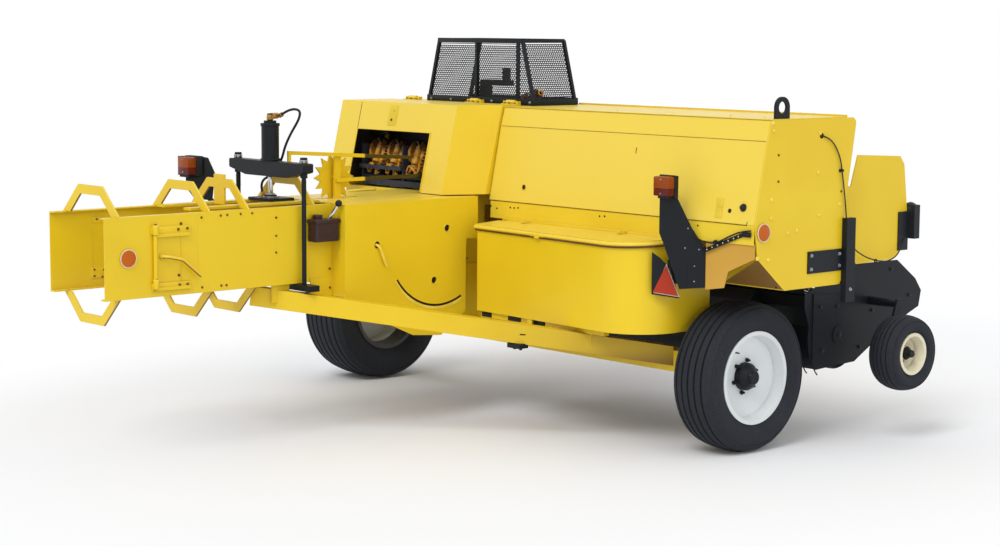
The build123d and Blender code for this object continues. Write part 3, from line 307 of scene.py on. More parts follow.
M = {
    # Yellow paint with a painted sky sheen on faces that tilt up and painted shade on faces that
    # look down
    "yellow": painted("paint_yellow", YELLOW, YELLOW_DRIFT, DUST, under=BROWN_SHADE, sheen=SHEEN),
    # The brace, with painted shade toward its far end and on faces that look down
    "yellow_brace": painted(
        "paint_yellow_brace", YELLOW, YELLOW_DRIFT, DUST, under=(132, 92, 46), mask=brace_shade
    ),
    # A lighter copy of the yellow, painted light on the housing walls, with painted shade in the
    # gap behind the shield and a painted sky sheen
    "yellow_house": painted(
        "paint_yellow_house", (238, 208, 56), (232, 200, 48), DUST,
        under=BROWN_SHADE, mask=gap_shade, sheen=SHEEN,
    ),
    # Knotter orange with random dark patches, and painted shade on the upper halves and on faces
    # that look down
    "yellow_inside": painted(
        "paint_yellow_inside", (222, 158, 34), (92, 56, 26), (70, 50, 30),
        rough=0.45, under=(42, 28, 20), mask=upper_shade, patch=30.0,
    ),
    # A darker copy of the yellow, painted shade for the housing's lower wall
    "yellow_shade": painted(
        "paint_yellow_shade", (208, 162, 64), (200, 150, 58), DUST, under=BROWN_SHADE
    ),
    # Faces that look down are painted near black as shade; the arm's end in the window is black
    "yellow_arm": painted(
        "paint_yellow_arm", YELLOW, YELLOW_DRIFT, DUST, under=(12, 12, 14), mask=arm_end
    ),
    "black": painted("paint_black", (26, 30, 35), (20, 24, 29), (70, 68, 64), 0.42, 0.16),
    "dark_red": painted("paint_dark_red", (58, 34, 36), (44, 26, 30), (84, 72, 64), 0.4),
    "white": painted("paint_white", WHITE, WHITE_DRIFT, WHITE_DIRT),
    # White rim paint with painted shade on its inner side and on faces that look down
    "white_left": painted(
        "paint_white_left", WHITE, WHITE_DRIFT, WHITE_DIRT, under=(30, 30, 31), mask=rim_inner_shade
    ),
    "cream": painted("paint_cream", (232, 226, 200), (222, 214, 186), WHITE_DIRT),
    "cast": painted("cast_iron", (40, 41, 44), (31, 32, 35), (74, 70, 64), rough=0.55),
    "rubber": rubber(),
    "steel": bare_metal("bare_steel", (180, 182, 186), (140, 142, 146), 0.26),
    "chrome": bare_metal("chrome_rod", (215, 218, 222), (190, 194, 200), 0.08),
    "brass": bare_metal("brass_fitting", (186, 146, 80), (140, 106, 58), 0.3),
    "plastic": plastic("black_plastic", (24, 26, 30), (31, 33, 38)),
    "hose": plastic("hose_rubber", (24, 25, 29), (33, 35, 39), 0.5, 500.0),
    "pale": plastic("pale_edge", (222, 216, 196), (206, 200, 178), 0.4),
    "plate": plastic("blank_plate", (232, 204, 66), (220, 192, 52), 0.5),
    # Dark brown painted shade for the insides of holes and slots
    "dark_gap": plastic("dark_gap", (52, 36, 18), (64, 46, 22), 0.75, shine=0.1),
    # Dark grey painted shade for the parts inside the hood and the cage
    "inner_dark": plastic("inner_dark", (66, 68, 78), (48, 49, 57), 0.6, shine=0.1),
    # Brown painted shade for the lines along the rear panel's fold and lower edge
    "seam": plastic("seam_brown", (116, 84, 30), (98, 70, 26), 0.6, shine=0.1),
    "bolt_brown": plastic("bolt_brown", (122, 84, 40), (96, 66, 36), 0.5),
    # A paler yellow, painted highlight on rivets, bolts, the shield rod and the slot's lip
    "bolt_yellow": plastic("bolt_yellow", (246, 222, 96), (226, 196, 60), 0.4),
    "amber": lens("amber_lens", (206, 104, 10), (176, 78, 6)),
    "amber_deep": lens("amber_deep_lens", (168, 78, 20), (112, 46, 14)),
    "red": lens("red_lens", (180, 56, 30), (166, 48, 26)),
    "red_deep": lens("red_deep_lens", (112, 34, 28), (78, 22, 20)),
    "clear": lens("clear_lens", (206, 212, 216), (140, 148, 156)),
}

# The slots of the record, each with its own material first
SLOTS = {
    "yellow_paint": ("yellow", "yellow_inside", "yellow_shade", "plate", "bolt_yellow"),
    "black_paint": ("black",),
    "dark_red_paint": ("dark_red",),
    "rim_white": ("white", "pale"),
    "rim_cream": ("cream",),
    "tyre_rubber": ("rubber",),
    "bright_steel": ("steel", "chrome", "brass", "bolt_brown"),
    "cast": ("cast",),
    "black_plastic": ("plastic", "seam", "inner_dark", "hose", "clear", "dark_gap"),
    "amber_lens": ("amber", "amber_deep"),
    "red_reflector": ("red", "red_deep"),
}
OWN_MATERIAL = {
    "left_rim": "white_left",
    "diagonal_brace": "yellow_brace",
    "feeder_rear_wall": "yellow_house",
    "knotters": "yellow_inside",
    # Painted shade: the knotter frame inside the hood is dark grey
    "knotter_frame": "inner_dark",
    "metering_arm": "yellow_arm",
    # Painted shade: the crank inside the cage is dark grey
    "cage_crank": "inner_dark",
    "pump_reservoir": "dark_red",
}
node_slot = {s["node"]: s["material_slot"] for s in frame["record"]["subparts"]}
for name, item in nodes.items():
    item.data.materials.clear()
    item.data.materials.append(M[OWN_MATERIAL.get(name, SLOTS[node_slot[name]][0])])

# ---- camera, solved from the machine's straight edges in the photograph

SENSOR, PHOTO_WIDTH, FOCAL_PIXELS = 36, 1000, 2082.2
yaw, pitch, roll = (math.radians(a) for a in (48.04, -6.796, 0.359))
ahead = Vector((-math.sin(yaw) * math.cos(pitch), math.cos(yaw) * math.cos(pitch), math.sin(pitch)))
right = Vector((math.cos(yaw), math.sin(yaw), 0))
up = right.cross(ahead)
turned_right = right * math.cos(roll) + up * math.sin(roll)
turned_up = up * math.cos(roll) - right * math.sin(roll)
camera_data = bpy.data.cameras.new("camera")
camera_data.sensor_width = SENSOR
camera_data.sensor_fit = "HORIZONTAL"
camera_data.lens = SENSOR * FOCAL_PIXELS / PHOTO_WIDTH
camera = linked(bpy.data.objects.new("camera", camera_data))
turn = Matrix((turned_right, turned_up, -ahead)).transposed().to_4x4()
camera.matrix_world = Matrix.Translation(spot(8100, -7193, 1955)) @ turn
bpy.context.scene.camera = camera

# ---- held hose and cables: smooth lines through the routes' own points


def held_line(name, radius, points, stands_for=None):
    """A cord that is held at both ends, as a smooth tube along its route"""
    data = bpy.data.curves.new(name, "CURVE")
    data.dimensions = "3D"
    data.bevel_depth = radius / 1000
    data.bevel_resolution = 4
    data.use_fill_caps = True
    data.resolution_u = 8
    line = data.splines.new("NURBS")
    line.points.add(len(points) - 1)
    for point, place in zip(line.points, points):
        point.co = (*spot(*place), 1.0)
    line.order_u = 3
    line.use_endpoint_u = True
    piece = linked(bpy.data.objects.new(name, data))
    data.materials.append(M["hose"])
    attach(piece, "chassis")
    if stands_for:
        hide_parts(stands_for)


HOSE_Y = -1335
HOSE_ROUTE = (
    (11.5, 1519), (95, 1560), (200, 1545), (60, 1400), (20, 1300), (-60, 1235), (-165, 1190),
    (-128, 1128),
)
held_line("tension_hose_line", 6, [(x, HOSE_Y, z) for x, z in HOSE_ROUTE], "tension_hose")
END_X = 2092  # outer face of the end plate
CABLE_X = END_X + 9
held_line("trip_cable", 3, (
    (END_X - 3, 150, 1469), (END_X + 8, 156, 1469), (CABLE_X, 222, 1442), (CABLE_X, 274, 1372),
    (CABLE_X, 290, 1307), (CABLE_X, 312, 1205), (CABLE_X, 326, 1120), (CABLE_X, 330, 1084),
))
held_line("front_lamp_cable", 3, (
    (2110, 376, 985), (2100, 396, 948), (2050, 465, 925), (2050, 560, 880), (2050, 687, 854),
    (2046, 771, 868), (2028, 840, 905), (2014, 880, 950),
))
held_line("rear_lamp_cable", 3.5, (
    (1690, -368, 1120), (1715, -345, 1075), (1740, -330, 1030), (1790, -312, 1000),
    (1850, -304, 990), (1900, -303, 1004), (1960, -303, 1034), (2030, -303, 1060),
    (2076, -300, 1064),
))

# ---- modelling helpers: sizes in millimetres, places from spot()

RIGHT, REAR, LEFT, UP, FRONT = (1, 0, 0), (0, -1, 0), (-1, 0, 0), (0, 0, 1), (0, 1, 0)
SMOOTH_ANGLE = math.radians(32)


def deselect():
    """Clears the selection"""
    bpy.ops.object.select_all(action="DESELECT")


def only(piece):
    """Selects one piece and makes it the active one"""
    deselect()
    piece.select_set(True)
    bpy.context.view_layer.objects.active = piece


def edit(piece, chosen="DESELECT"):
    """Opens a piece in edit mode with all its faces selected, or none"""
    only(piece)
    bpy.ops.object.mode_set(mode="EDIT")
    bpy.ops.mesh.select_mode(type="FACE")
    bpy.ops.mesh.select_all(action=chosen)


def leave_edit():
    bpy.ops.object.mode_set(mode="OBJECT")


def pick_faces(piece, test):
    """Selects the faces whose centre and normal pass the test"""
    mesh = bmesh.from_edit_mesh(piece.data)
    for face in mesh.faces:
        face.select_set(bool(test(face.calc_center_median(), face.normal)))
    bmesh.update_edit_mesh(piece.data)


def caps(centre, normal):
    """Faces that look along Z"""
    return abs(normal.z) > 0.9


def soften(width):
    """Bevels the edges of the picked faces and leaves edit mode"""
    bpy.ops.mesh.bevel(offset=width / 1000, segments=2, affect="EDGES")
    leave_edit()


def apply_place(piece):
    only(piece)
    bpy.ops.object.transform_apply(location=True, rotation=True, scale=True)


def put(piece, place, toward=UP, spin=0.0, size=1.0):
    """Moves a piece modelled upright at the origin to its place, its own Z facing toward"""
    turned = Vector(toward).to_track_quat("Z", "Y").to_matrix().to_4x4()
    spun = Matrix.Rotation(math.radians(spin), 4, "Z")
    piece.matrix_world = Matrix.Translation(place) @ turned @ spun @ Matrix.Scale(size, 4)
    apply_place(piece)
    return piece


def lay(piece, origin, across, along):
    """Puts a piece with its own X across and its own Y along, as on a sloping sheet"""
    across = Vector(across).normalized()
    along = Vector(along).normalized()
    basis = Matrix((across, along, across.cross(along))).transposed().to_4x4()
    piece.matrix_world = Matrix.Translation(origin) @ basis
    apply_place(piece)
    return piece


def copied(pattern):
    """A copy of a piece, with its own mesh"""
    piece = pattern.copy()
    piece.data = pattern.data.copy()
    return linked(piece)


def joined(parts):
    """Joins the parts into the first one"""
    deselect()
    for part in parts:
        part.select_set(True)
    bpy.context.view_layer.objects.active = parts[0]
    if len(parts) > 1:
        bpy.ops.object.join()
    return bpy.context.object


def round_piece(radius, depth, sides=24, soft=1.0, top=None):
    """A turned blank along Z with softened ends; top narrows its upper end"""
    deselect()
    bpy.ops.mesh.primitive_cone_add(
        vertices=sides, radius1=radius / 1000,
        radius2=(radius if top is None else top) / 1000,
        depth=depth / 1000,
        location=(0, 0, depth / 2000),
    )
    piece = bpy.context.object
    apply_place(piece)
    edit(piece)
    pick_faces(piece, caps)
    soften(soft)
    return piece


def peg(place, radius, depth, sides, soft, toward=UP):
    """A turned blank that stands at a place"""
    return put(round_piece(radius, depth, sides, soft), spot(*place), toward)


def plank(low, high, soft=1.0):
    """A block between two corners with softened edges"""
    low, high = Vector(low), Vector(high)
    deselect()
    bpy.ops.mesh.primitive_cube_add(size=1, location=spot(*((low + high) / 2)))
    piece = bpy.context.object
    piece.scale = (high - low) / 1000
    apply_place(piece)
    edit(piece, "SELECT")
    soften(soft)
    return piece


def cut_sheet(outline, thickness, soft=0.0):
    """A flat plate with its outline in X and Y and its thickness toward +Z"""
    deselect()
    bpy.ops.mesh.primitive_circle_add(vertices=len(outline), fill_type="NGON")
    piece = bpy.context.object
    for vertex, (across, along) in zip(piece.data.vertices, outline):
        vertex.co = (across / 1000, along / 1000, 0)
    edit(piece, "SELECT")
    bpy.ops.mesh.extrude_region_move(TRANSFORM_OT_translate={"value": (0, 0, thickness / 1000)})
    if soft:
        middle = thickness / 2000
        pick_faces(piece, lambda centre, normal: centre.z > middle and caps(centre, normal))
        bpy.ops.mesh.bevel(offset=soft / 1000, segments=2, affect="EDGES")
    bpy.ops.mesh.select_all(action="SELECT")
    bpy.ops.mesh.normals_make_consistent(inside=False)
    leave_edit()
    return piece


def lathe(profile, steps=96):
    """A closed outline of (radius, height) spun about Z"""
    deselect()
    bpy.ops.mesh.primitive_circle_add(vertices=len(profile), fill_type="NOTHING")
    piece = bpy.context.object
    for vertex, (radius, height) in zip(piece.data.vertices, profile):
        vertex.co = (radius / 1000, 0, height / 1000)
    edit(piece, "SELECT")
    bpy.ops.mesh.select_mode(type="VERT")
    bpy.ops.mesh.select_all(action="SELECT")
    bpy.ops.mesh.spin(steps=steps, angle=math.tau, center=(0, 0, 0), axis=(0, 0, 1))
    bpy.ops.mesh.select_all(action="SELECT")
    bpy.ops.mesh.remove_doubles(threshold=0.00002)
    bpy.ops.mesh.normals_make_consistent(inside=False)
    leave_edit()
    return piece


def bent_rod(points, radius, sides=3, bend=0.0):
    """A round rod through places, turned into a mesh; bend rounds its corners"""
    data = bpy.data.curves.new("rod", "CURVE")
    data.dimensions = "3D"
    data.bevel_depth = radius / 1000
    data.bevel_resolution = sides
    data.use_fill_caps = True
    line = data.splines.new("POLY")
    places = [spot(*p) for p in points]
    if bend:
        rounded = [places[0]]
        for before, corner, after in zip(places, places[1:], places[2:]):
            into = (before - corner).normalized() * bend / 1000
            out = (after - corner).normalized() * bend / 1000
            for step in range(6):
                t = step / 5
                rounded.append(corner + into * (1 - t) ** 2 + out * t**2)
        places = rounded + [places[-1]]
    line.points.add(len(places) - 1)
    for point, place in zip(line.points, places):
        point.co = (*place, 1.0)
    only(linked(bpy.data.objects.new("rod", data)))
    bpy.ops.object.convert(target="MESH")
    return bpy.context.object


def ring(place, toward, radius, tube, flat=1.0):
    """A round bead"""
    deselect()
    bpy.ops.mesh.primitive_torus_add(
        major_radius=radius / 1000, minor_radius=tube / 1000, major_segments=40, minor_segments=10
    )
    piece = bpy.context.object
    piece.scale = (1, 1, flat)
    apply_place(piece)
    return put(piece, place, toward)


def fitted(name, parts, body, material, *stands_for):
    """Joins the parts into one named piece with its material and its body"""
    piece = joined(parts)
    piece.name = name
    piece.data.name = name
    piece.data.materials.clear()
    piece.data.materials.append(M[material])
    only(piece)
    bpy.ops.object.shade_smooth_by_angle(angle=SMOOTH_ANGLE)
    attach(piece, body)
    if stands_for:
        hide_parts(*stands_for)
    return piece


def fixed(name, material, *parts):
    """One named piece of the chassis"""
    return fitted(name, parts, "chassis", material)


def arc_through(start, middle, end, count):
    """Points on the circle through three points"""
    (ax, ay), (bx, by), (cx, cy) = start, middle, end
    d = 2 * (ax * (by - cy) + bx * (cy - ay) + cx * (ay - by))
    sa, sb, sc = ax * ax + ay * ay, bx * bx + by * by, cx * cx + cy * cy
    ux = (sa * (by - cy) + sb * (cy - ay) + sc * (ay - by)) / d
    uy = (sa * (cx - bx) + sb * (ax - cx) + sc * (bx - ax)) / d
    radius = math.hypot(ax - ux, ay - uy)
    first = math.atan2(ay - uy, ax - ux)
    last = math.atan2(cy - uy, cx - ux)
    mid = math.atan2(by - uy, bx - ux)
    span = (last - first) % math.tau
    if (mid - first) % math.tau > span:
        span -= math.tau
    angles = [first + span * i / count for i in range(count + 1)]
    return [(ux + radius * math.cos(a), uy + radius * math.sin(a)) for a in angles]


# Fasteners, modelled once and copied
BOLT = joined([round_piece(11.5, 2.2, 20, 0.5), put(round_piece(9, 7.5, 6, 0.9), (0, 0, 0.0022))])
RIVET = round_piece(9, 5, 14, 2.2, top=5)
STUD = round_piece(10, 13, 6, 1.6)


def fastened(
    name, places, toward, size, material="bolt_brown", body="chassis", pattern=BOLT
):
    """One piece of like fasteners"""
    parts = [
        put(copied(pattern), spot(*place), toward, 17.0 * number, size)
        for number, place in enumerate(places)
    ]
    return fitted(name, parts, body, material)


# ---- wheels

WHEEL_CENTRES = {"right": (1760, 0, 350), "left": (-960, 0, 381), "gauge": (2125, 745, 426)}


def ribbed_tyre(side, radius, width, rim, reach, grooves, depth):
    """Tyre with grooves round its tread, a shoulder line and a bead line on each side"""
    shoulder, tread = width * 0.40, radius - 12
    belly = (rim + radius) / 2
    side_wall = arc_through((reach, rim + 14), (width / 2, belly), (shoulder, tread), 14)
    crown = arc_through((shoulder, tread), (0, radius), (-shoulder, tread), 40)

    def crown_height(x):
        for (xa, za), (xb, zb) in zip(crown, crown[1:]):
            if xb <= x <= xa:
                return za + (zb - za) * (xa - x) / (xa - xb)
        return tread

    outline = [(reach, rim), (reach, rim + 6)]
    for index, (x, z) in enumerate(side_wall):
        outline.append((x, z))
        if index in (2, 11):
            outline += [(x + 2.2, z + 1.0), (x + 2.0, z + 4.0)]
    half_groove = width * 0.017
    # The lips, then the walls of each groove: place, place of the height, whether it is sunk
    groove = (
        (3.4, 3.4, 0), (1.25, 1, 0), (0.7, 0, 1), (-0.7, 0, 1), (-1.25, -1, 0), (-3.4, -3.4, 0)
    )
    for x in sorted(grooves, reverse=True):
        for across, height_at, sunk in groove:
            height = crown_height(x + half_groove * height_at)
            outline.append((x + half_groove * across, height - depth * sunk))
    for index, (x, z) in enumerate(reversed(side_wall)):
        if index in (3, 12):
            outline += [(-x - 2.0, z + 4.0), (-x - 2.2, z + 1.0)]
        outline.append((-x, z))
    outline += [(-reach, rim + 6), (-reach, rim)]
    tyre = lathe([(z, x) for x, z in outline], 120)
    put(tyre, spot(*WHEEL_CENTRES[side]), RIGHT)
    fitted(side + "_tyre_ribbed", [tyre], side + "_wheel", "rubber", side + "_tyre")


ribbed_tyre("right", 350, 236, 205, 98, (-74, -37, 0, 37, 74), 11)
ribbed_tyre("left", 381, 330, 205, 128, (-108, -65, -22, 22, 65, 108), 9)
ribbed_tyre("gauge", 180, 150, 92, 60, (-36, -12, 12, 36), 6)


def on_wheel(side, toward, reach, radius, angle):
    """A place on a wheel's face, at a radius and an angle about its axle"""
    offset = Vector((0, math.cos(angle), math.sin(angle))) * radius / 1000
    return spot(*WHEEL_CENTRES[side]) + Vector(toward) * reach / 1000 + offset


def hub_and_studs(side, toward, face, hub, stud_ring, studs, stud_size=1.0):
    """Black hub with its cap over the rim's centre, and the nuts round it"""
    cover = lathe(
        [
            (0, face + 54), (hub * 0.46, face + 54), (hub * 0.52, face + 50),
            (hub * 0.57, face + 36), (hub * 0.66, face + 33), (hub * 0.96, face + 18),
            (hub * 1.03, face + 10), (hub * 1.05, face - 16.4), (0, face - 16.4),
        ],
        36,
    )
    parts = [put(cover, spot(*WHEEL_CENTRES[side]), toward)]
    for number in range(studs):
        place = on_wheel(side, toward, face - 17, stud_ring, math.tau * number / studs + 0.3)
        parts.append(put(copied(STUD), place, toward, 13 * number, stud_size))
        parts.append(put(round_piece(5, 24, 12, 1.2), place, toward, 0, stud_size))
    fitted(side + "_hub", parts, side + "_wheel", "black")


hub_and_studs("right", RIGHT, 45, 62, 76, 6)
hub_and_studs("left", LEFT, 60, 62, 76, 6)
hub_and_studs("gauge", RIGHT, 6, 34, 46, 4, 0.5)
# Valve stems through the rims' discs
for side, toward, reach, angle in (("right", RIGHT, 44, 2.2), ("left", LEFT, 58, 0.9)):
    place = on_wheel(side, toward, reach, 150, angle)
    stem = put(round_piece(4, 34, 12, 1.0, top=3.2), place, toward)
    fitted(side + "_valve", [stem], side + "_wheel", "plastic")

# ---- bale chamber

CHAMBER_BOLTS = [
    (235, -1936, 1083), (235, -1832, 1086), (235, -1796, 1087), (235, -1722, 1087),
    (235, -1658, 1087), (235, -1936, 765), (235, -1832, 765), (235, -1804, 765),
    (235, -1523, 1059), (235, -1523, 974), (235, -1524, 896),
]
fastened("chamber_right_bolts", CHAMBER_BOLTS, RIGHT, 0.5)
fastened("chamber_left_bolts", [(-x, y, z) for x, y, z in CHAMBER_BOLTS], LEFT, 0.5)
fixed(
    "chamber_side_door", "yellow",
    plank((234.6, -2050, 800), (237, -2046, 1005), 0.6),
    plank((234.6, -2016, 1020), (243, -2012, 1052), 1.0),
    plank((236, -2205, 1022), (244, -2000, 1054), 1.5),
    plank((236, -2205, 772), (244, -2000, 802), 1.5),
    peg((252, -2190, 1020), 14, 44, 20, 2),
    peg((252, -2190, 778), 14, 44, 20, 2),
    bent_rod(
        ((246, -2152, 921), (268, -2138, 921), (268, -2060, 903), (262, -1958, 822)), 8, 4, bend=14,
    ),
    peg((235, -2152, 921), 12, 12, 18, 2, RIGHT),
)
fastened(
    "chamber_door_bolts",
    [
        (244, -2066, 1038), (244, -2018, 1040), (244, -2062, 788), (244, -2020, 788),
        (235, -2046, 1062), (235, -2060, 830),
    ],
    RIGHT, 0.6,
)
fastened("chamber_knuckle_pins", [(252, -2190, 1064), (252, -2190, 822)], UP, 0.6)
fastened(
    "chamber_inner_bolts",
    [
        (-229, -2201, 1057), (-229, -2176, 1056), (-229, -2218, 825), (-229, -2167, 821),
        (-229, -2218, 795), (-229, -2176, 789),
    ],
    RIGHT, 0.6,
)
fixed(
    "chamber_inner_door", "yellow",
    plank((-229.6, -2226, 832), (-227.6, -2222, 1040), 0.5),
    plank((-229.6, -2226, 1040), (-226.0, -2150, 1068), 1.0),
    plank((-229.6, -2236, 784), (-226.0, -2150, 832), 1.0),
)


def reflector(name, place, toward):
    """Round reflector: a stepped amber face in a pale ring"""
    profile = [(0, 9.5), (30, 9.5), (33, 8.5), (37, 8.0), (38.6, 6.0), (38.6, 0.2), (0, 0.2)]
    face = lathe(profile, 48)
    put(face, spot(*place), toward)
    fixed(name, "amber", face)
    fixed(name + "_rim", "pale", ring(spot(*place) + Vector(toward) * 0.006, toward, 39.4, 2.5))


reflector("chamber_reflector", (235, -2324, 923), RIGHT)
reflector("house_reflector", (END_X, -237, 1053), RIGHT)
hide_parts("amber_reflectors")

# ---- bale tensioner

TENSION_Y = -1385
TIE_X = (-266, 266)
fixed(
    "cylinder_fittings", "brass",
    peg((0, TENSION_Y, 1499), 18, 26, 6, 2),
    peg((0, TENSION_Y, 1519), 14, 46, 6, 2, FRONT),
    peg((8, HOSE_Y, 1519), 12, 22, 6, 2, (1, 0, 0.35)),
    peg((-128, HOSE_Y, 1122), 12, 26, 6, 2),
)
fixed(
    "cylinder_bands", "black",
    peg((0, TENSION_Y, 1471), 46, 14, 40, 2),
    peg((0, TENSION_Y, 1306), 47, 12, 40, 2),
)
fixed("tension_rod_sleeve", "chrome", peg((0, TENSION_Y, 1145), 12.6, 88, 32, 1))
tie_parts = []
for side_x in TIE_X:
    for low in (1322, 1250, 1238, 716, 688):
        tie_parts.append(peg((side_x, TENSION_Y, low), 19, 12, 6, 2))
    for turn_of_thread in range(10):
        height = 1226 - 6 * turn_of_thread
        tie_parts.append(ring(spot(side_x, TENSION_Y, height), UP, 11.2, 1.3))
fixed("tie_rod_nuts", "black", *tie_parts)
fixed(
    "tension_spring_pad", "steel",
    *[peg((side_x, TENSION_Y, 1306), 21.5, 18, 6, 2) for side_x in TIE_X],
    peg((0, TENSION_Y, 1132), 40, 5, 32, 1.5),
    peg((0, TENSION_Y, 1137), 24, 14, 6, 2),
)

# Hand pump: rimmed pot, filler plug, chrome lever with a black ball
fixed(
    "pump_rim", "dark_red",
    plank((236, -1349, 1022), (314, -1204, 1042), 5),
    plank((240, -1340, 937), (311, -1213, 950), 4),
    peg((265, -1305, 1050), 24, 12, 32, 2),
)
fixed(
    "pump_lever", "chrome",
    bent_rod(((278, -1252, 1040), (300, -1236, 1072), (319, -1222, 1112)), 7.6, 5),
)
ball = lathe(
    [(0, 16.5)] + arc_through((0.01, 16.5), (16.5, 0), (5, -15.7), 12)[1:] + [(0, -15.7)], 28
)
fixed("pump_ball", "plastic", put(ball, spot(319, -1222, 1115)))

# ---- shield: dark slot with its pale lower lip, holes and the short rod


def arc_strip(inner, outer, start, end, count, depth):
    """A flat band along an arc, given in degrees, to be laid on a sheet"""
    angles = [math.radians(start + (end - start) * i / count) for i in range(count + 1)]
    outline = [(outer * math.cos(a), outer * math.sin(a)) for a in angles]
    outline += [(inner * math.cos(a), inner * math.sin(a)) for a in reversed(angles)]
    return cut_sheet(outline, depth)


SLOT_CENTRE_Y, SLOT_CENTRE_Z = -620.6, 897.9


def on_shield(piece, x):
    """Lays a piece on the shield, about the slot's centre"""
    return lay(piece, spot(x, SLOT_CENTRE_Y, SLOT_CENTRE_Z), FRONT, UP)


SHIELD_HOLES = ((-1008, 906), (-568, 961), (-651, 709))
# A pale strip along the slot's lower edge, a painted highlight
fixed("slot_lip", "bolt_yellow", on_shield(arc_strip(319, 333, -147, -63, 28, 3), 339))
# Dark sheets behind the slot and the holes, painted shade
slot_back = on_shield(arc_strip(300, 330, -149, -69, 26, 2), 329.5)
slot_end = on_shield(arc_strip(308, 322, -71.5, -62.6, 6, 1), 339.6)
hole_backs = [peg((329.5, y, z), 22, 2, 24, 0.4, RIGHT) for y, z in SHIELD_HOLES]
fixed("slot_dark", "dark_gap", slot_back, slot_end, *hole_backs)
fixed(
    "shield_rod", "bolt_yellow",
    bent_rod(((332, -1012, 908), (356, -1004, 900), (352, -959, 801)), 7, 4, bend=16),
)
fixed(
    "shield_hole_rims", "yellow",
    *[ring(spot(340, y, z), RIGHT, 17.5, 1.6) for y, z in SHIELD_HOLES],
)
fastened("shield_bolts", [(241, -1216, 798), (241, -1216, 708), (340, -438, 804)], RIGHT, 0.55)

# ---- knotter hood: seam, blank plate, bead round the window

HOOD_SLOPE = Vector((0, 104, 442)).normalized()


def on_hood(x, z, out=0.0):
    """A place on the hood's rear face"""
    lift = Vector((0, -442, 104)).normalized() * out / 1000
    return spot(x, -514 + (z - 1114) * 104 / 442, z) + lift


seam = cut_sheet(((-1.5, 0), (1.5, 0), (1.5, 142), (-1.5, 142)), 1.2, 0.3)
fitted("hood_seam", [lay(seam, on_hood(-530, 1411), RIGHT, HOOD_SLOPE)], "hood", "bolt_brown")
blank = cut_sheet(
    ((-30, 0), (30, 0), (34, 5), (34, 104), (30, 109), (-30, 109), (-34, 104), (-34, 5)), 1.6, 0.6
)
blank = lay(blank, on_hood(-256, 1436, 0.2), RIGHT, HOOD_SLOPE)
fitted("hood_blank_plate", [blank], "hood", "plate")
upright, level = ((-3, -3), (3, -3), (3, 300), (-3, 300)), ((0, -3), (600, -3), (600, 3), (0, 3))
bead = [
    lay(cut_sheet(outline, 5, 1), on_hood(x, z), RIGHT, HOOD_SLOPE)
    for outline, x, z in ((upright, -527, 1120), (upright, 67, 1120), (level, -530, 1413))
]
fitted("hood_window_bead", bead, "hood", "yellow")
fastened(
    "hood_bolts",
    [(335, -180, 1520), (335, -120, 1140)],
    RIGHT, 0.9, "bolt_yellow", "hood", RIVET,
)
fitted(
    "hood_plate_marks",
    [
        put(round_piece(3, 0.8, 12, 0.2), on_hood(-252, 1512, 1.8), (0, -442, 104)),
        put(round_piece(7, 0.8, 16, 0.2), on_hood(-262, 1466, 1.8), (0, -442, 104)),
    ],
    "hood", "dark_gap",
)
# A dark sheet on the hood's left wall, painted shade inside the hood
liner = cut_sheet(((-500, 1124), (-130, 1124), (-130, 1540), (-406, 1540)), 1.5)
fitted("hood_side_shade", [lay(liner, spot(-693.4, 0, 0), FRONT, UP)], "hood", "inner_dark")

# Knotters: black back wall as painted shade, twine discs with teeth, bill hooks, springs and arms
fixed(
    "knotter_back_wall", "plastic",
    plank((-540, -226, 1135), (-20, -222, 1520), 1),
    plank((-540, -222, 1470), (200, -90, 1474), 1),
    plank((196, -226, 1330), (200, -90, 1520), 1),
    plank((-20, -226, 1345), (200, -222, 1520), 1),
)
fixed(
    "knotter_shelf", "yellow",
    plank((-690, -396, 1104), (-238, -112, 1108), 1),
    plank((-690, -398, 1054), (-238, -392, 1108), 1.5),
    plank((-691, -396, 1054), (-687, -112, 1124), 1),
    plank((-660, -560, 1062), (-236, -548, 1082), 3),
    bent_rod(((-600, -552, 1070), (-500, -470, 1090), (-440, -396, 1096)), 9, 4, bend=40),
    bent_rod(((-420, -552, 1070), (-330, -470, 1090), (-280, -396, 1096)), 9, 4, bend=40),
)
fixed(
    "knotter_rails", "black",
    plank((-560, -262, 1440), (196, -232, 1464), 3),
    plank((-540, -395, 1162), (40, -380, 1174), 3),
    plank((-548, -330, 1380), (-420, -300, 1402), 3),
    bent_rod(((-520, -350, 1170), (-500, -320, 1300), (-520, -280, 1420)), 8, 4, bend=30),
)


def toothed_disc(radius, teeth, depth):
    """A flat wheel with pointed teeth"""
    outline = []
    for corner in range(2 * teeth):
        angle = math.pi * corner / teeth
        reach = radius if corner % 2 else radius * 0.84
        outline.append((reach * math.cos(angle), reach * math.sin(angle)))
    return cut_sheet(outline, depth, 1.2)


def coil(start, end, radius, wire, turns):
    """A round spring between two places"""
    start, end = Vector(start), Vector(end)
    axis = (end - start).normalized()
    side = axis.cross(Vector((0.3, 1, 0.2))).normalized()
    other = axis.cross(side)
    points = []
    for step in range(turns * 10 + 1):
        angle = math.tau * step / 10
        along = start + (end - start) * step / (turns * 10)
        points.append(along + side * math.cos(angle) * radius + other * math.sin(angle) * radius)
    return bent_rod(points, wire, 2)


def twisted_bar(low, high, width, turn):
    """A flat bar with a twist along it"""
    length = (Vector(high) - Vector(low)).length
    deselect()
    bpy.ops.mesh.primitive_cube_add(size=1)
    piece = bpy.context.object
    piece.scale = (width / 1000, width / 2600, length / 1000)
    apply_place(piece)
    edit(piece, "SELECT")
    bpy.ops.mesh.subdivide(number_cuts=8)
    leave_edit()
    twist = piece.modifiers.new("twist", "SIMPLE_DEFORM")
    twist.deform_method = "TWIST"
    twist.deform_axis = "Z"
    twist.angle = math.radians(turn)
    bpy.ops.object.modifier_apply(modifier="twist")
    middle = (Vector(low) + Vector(high)) / 2
    return put(piece, spot(*middle), Vector(high) - Vector(low))


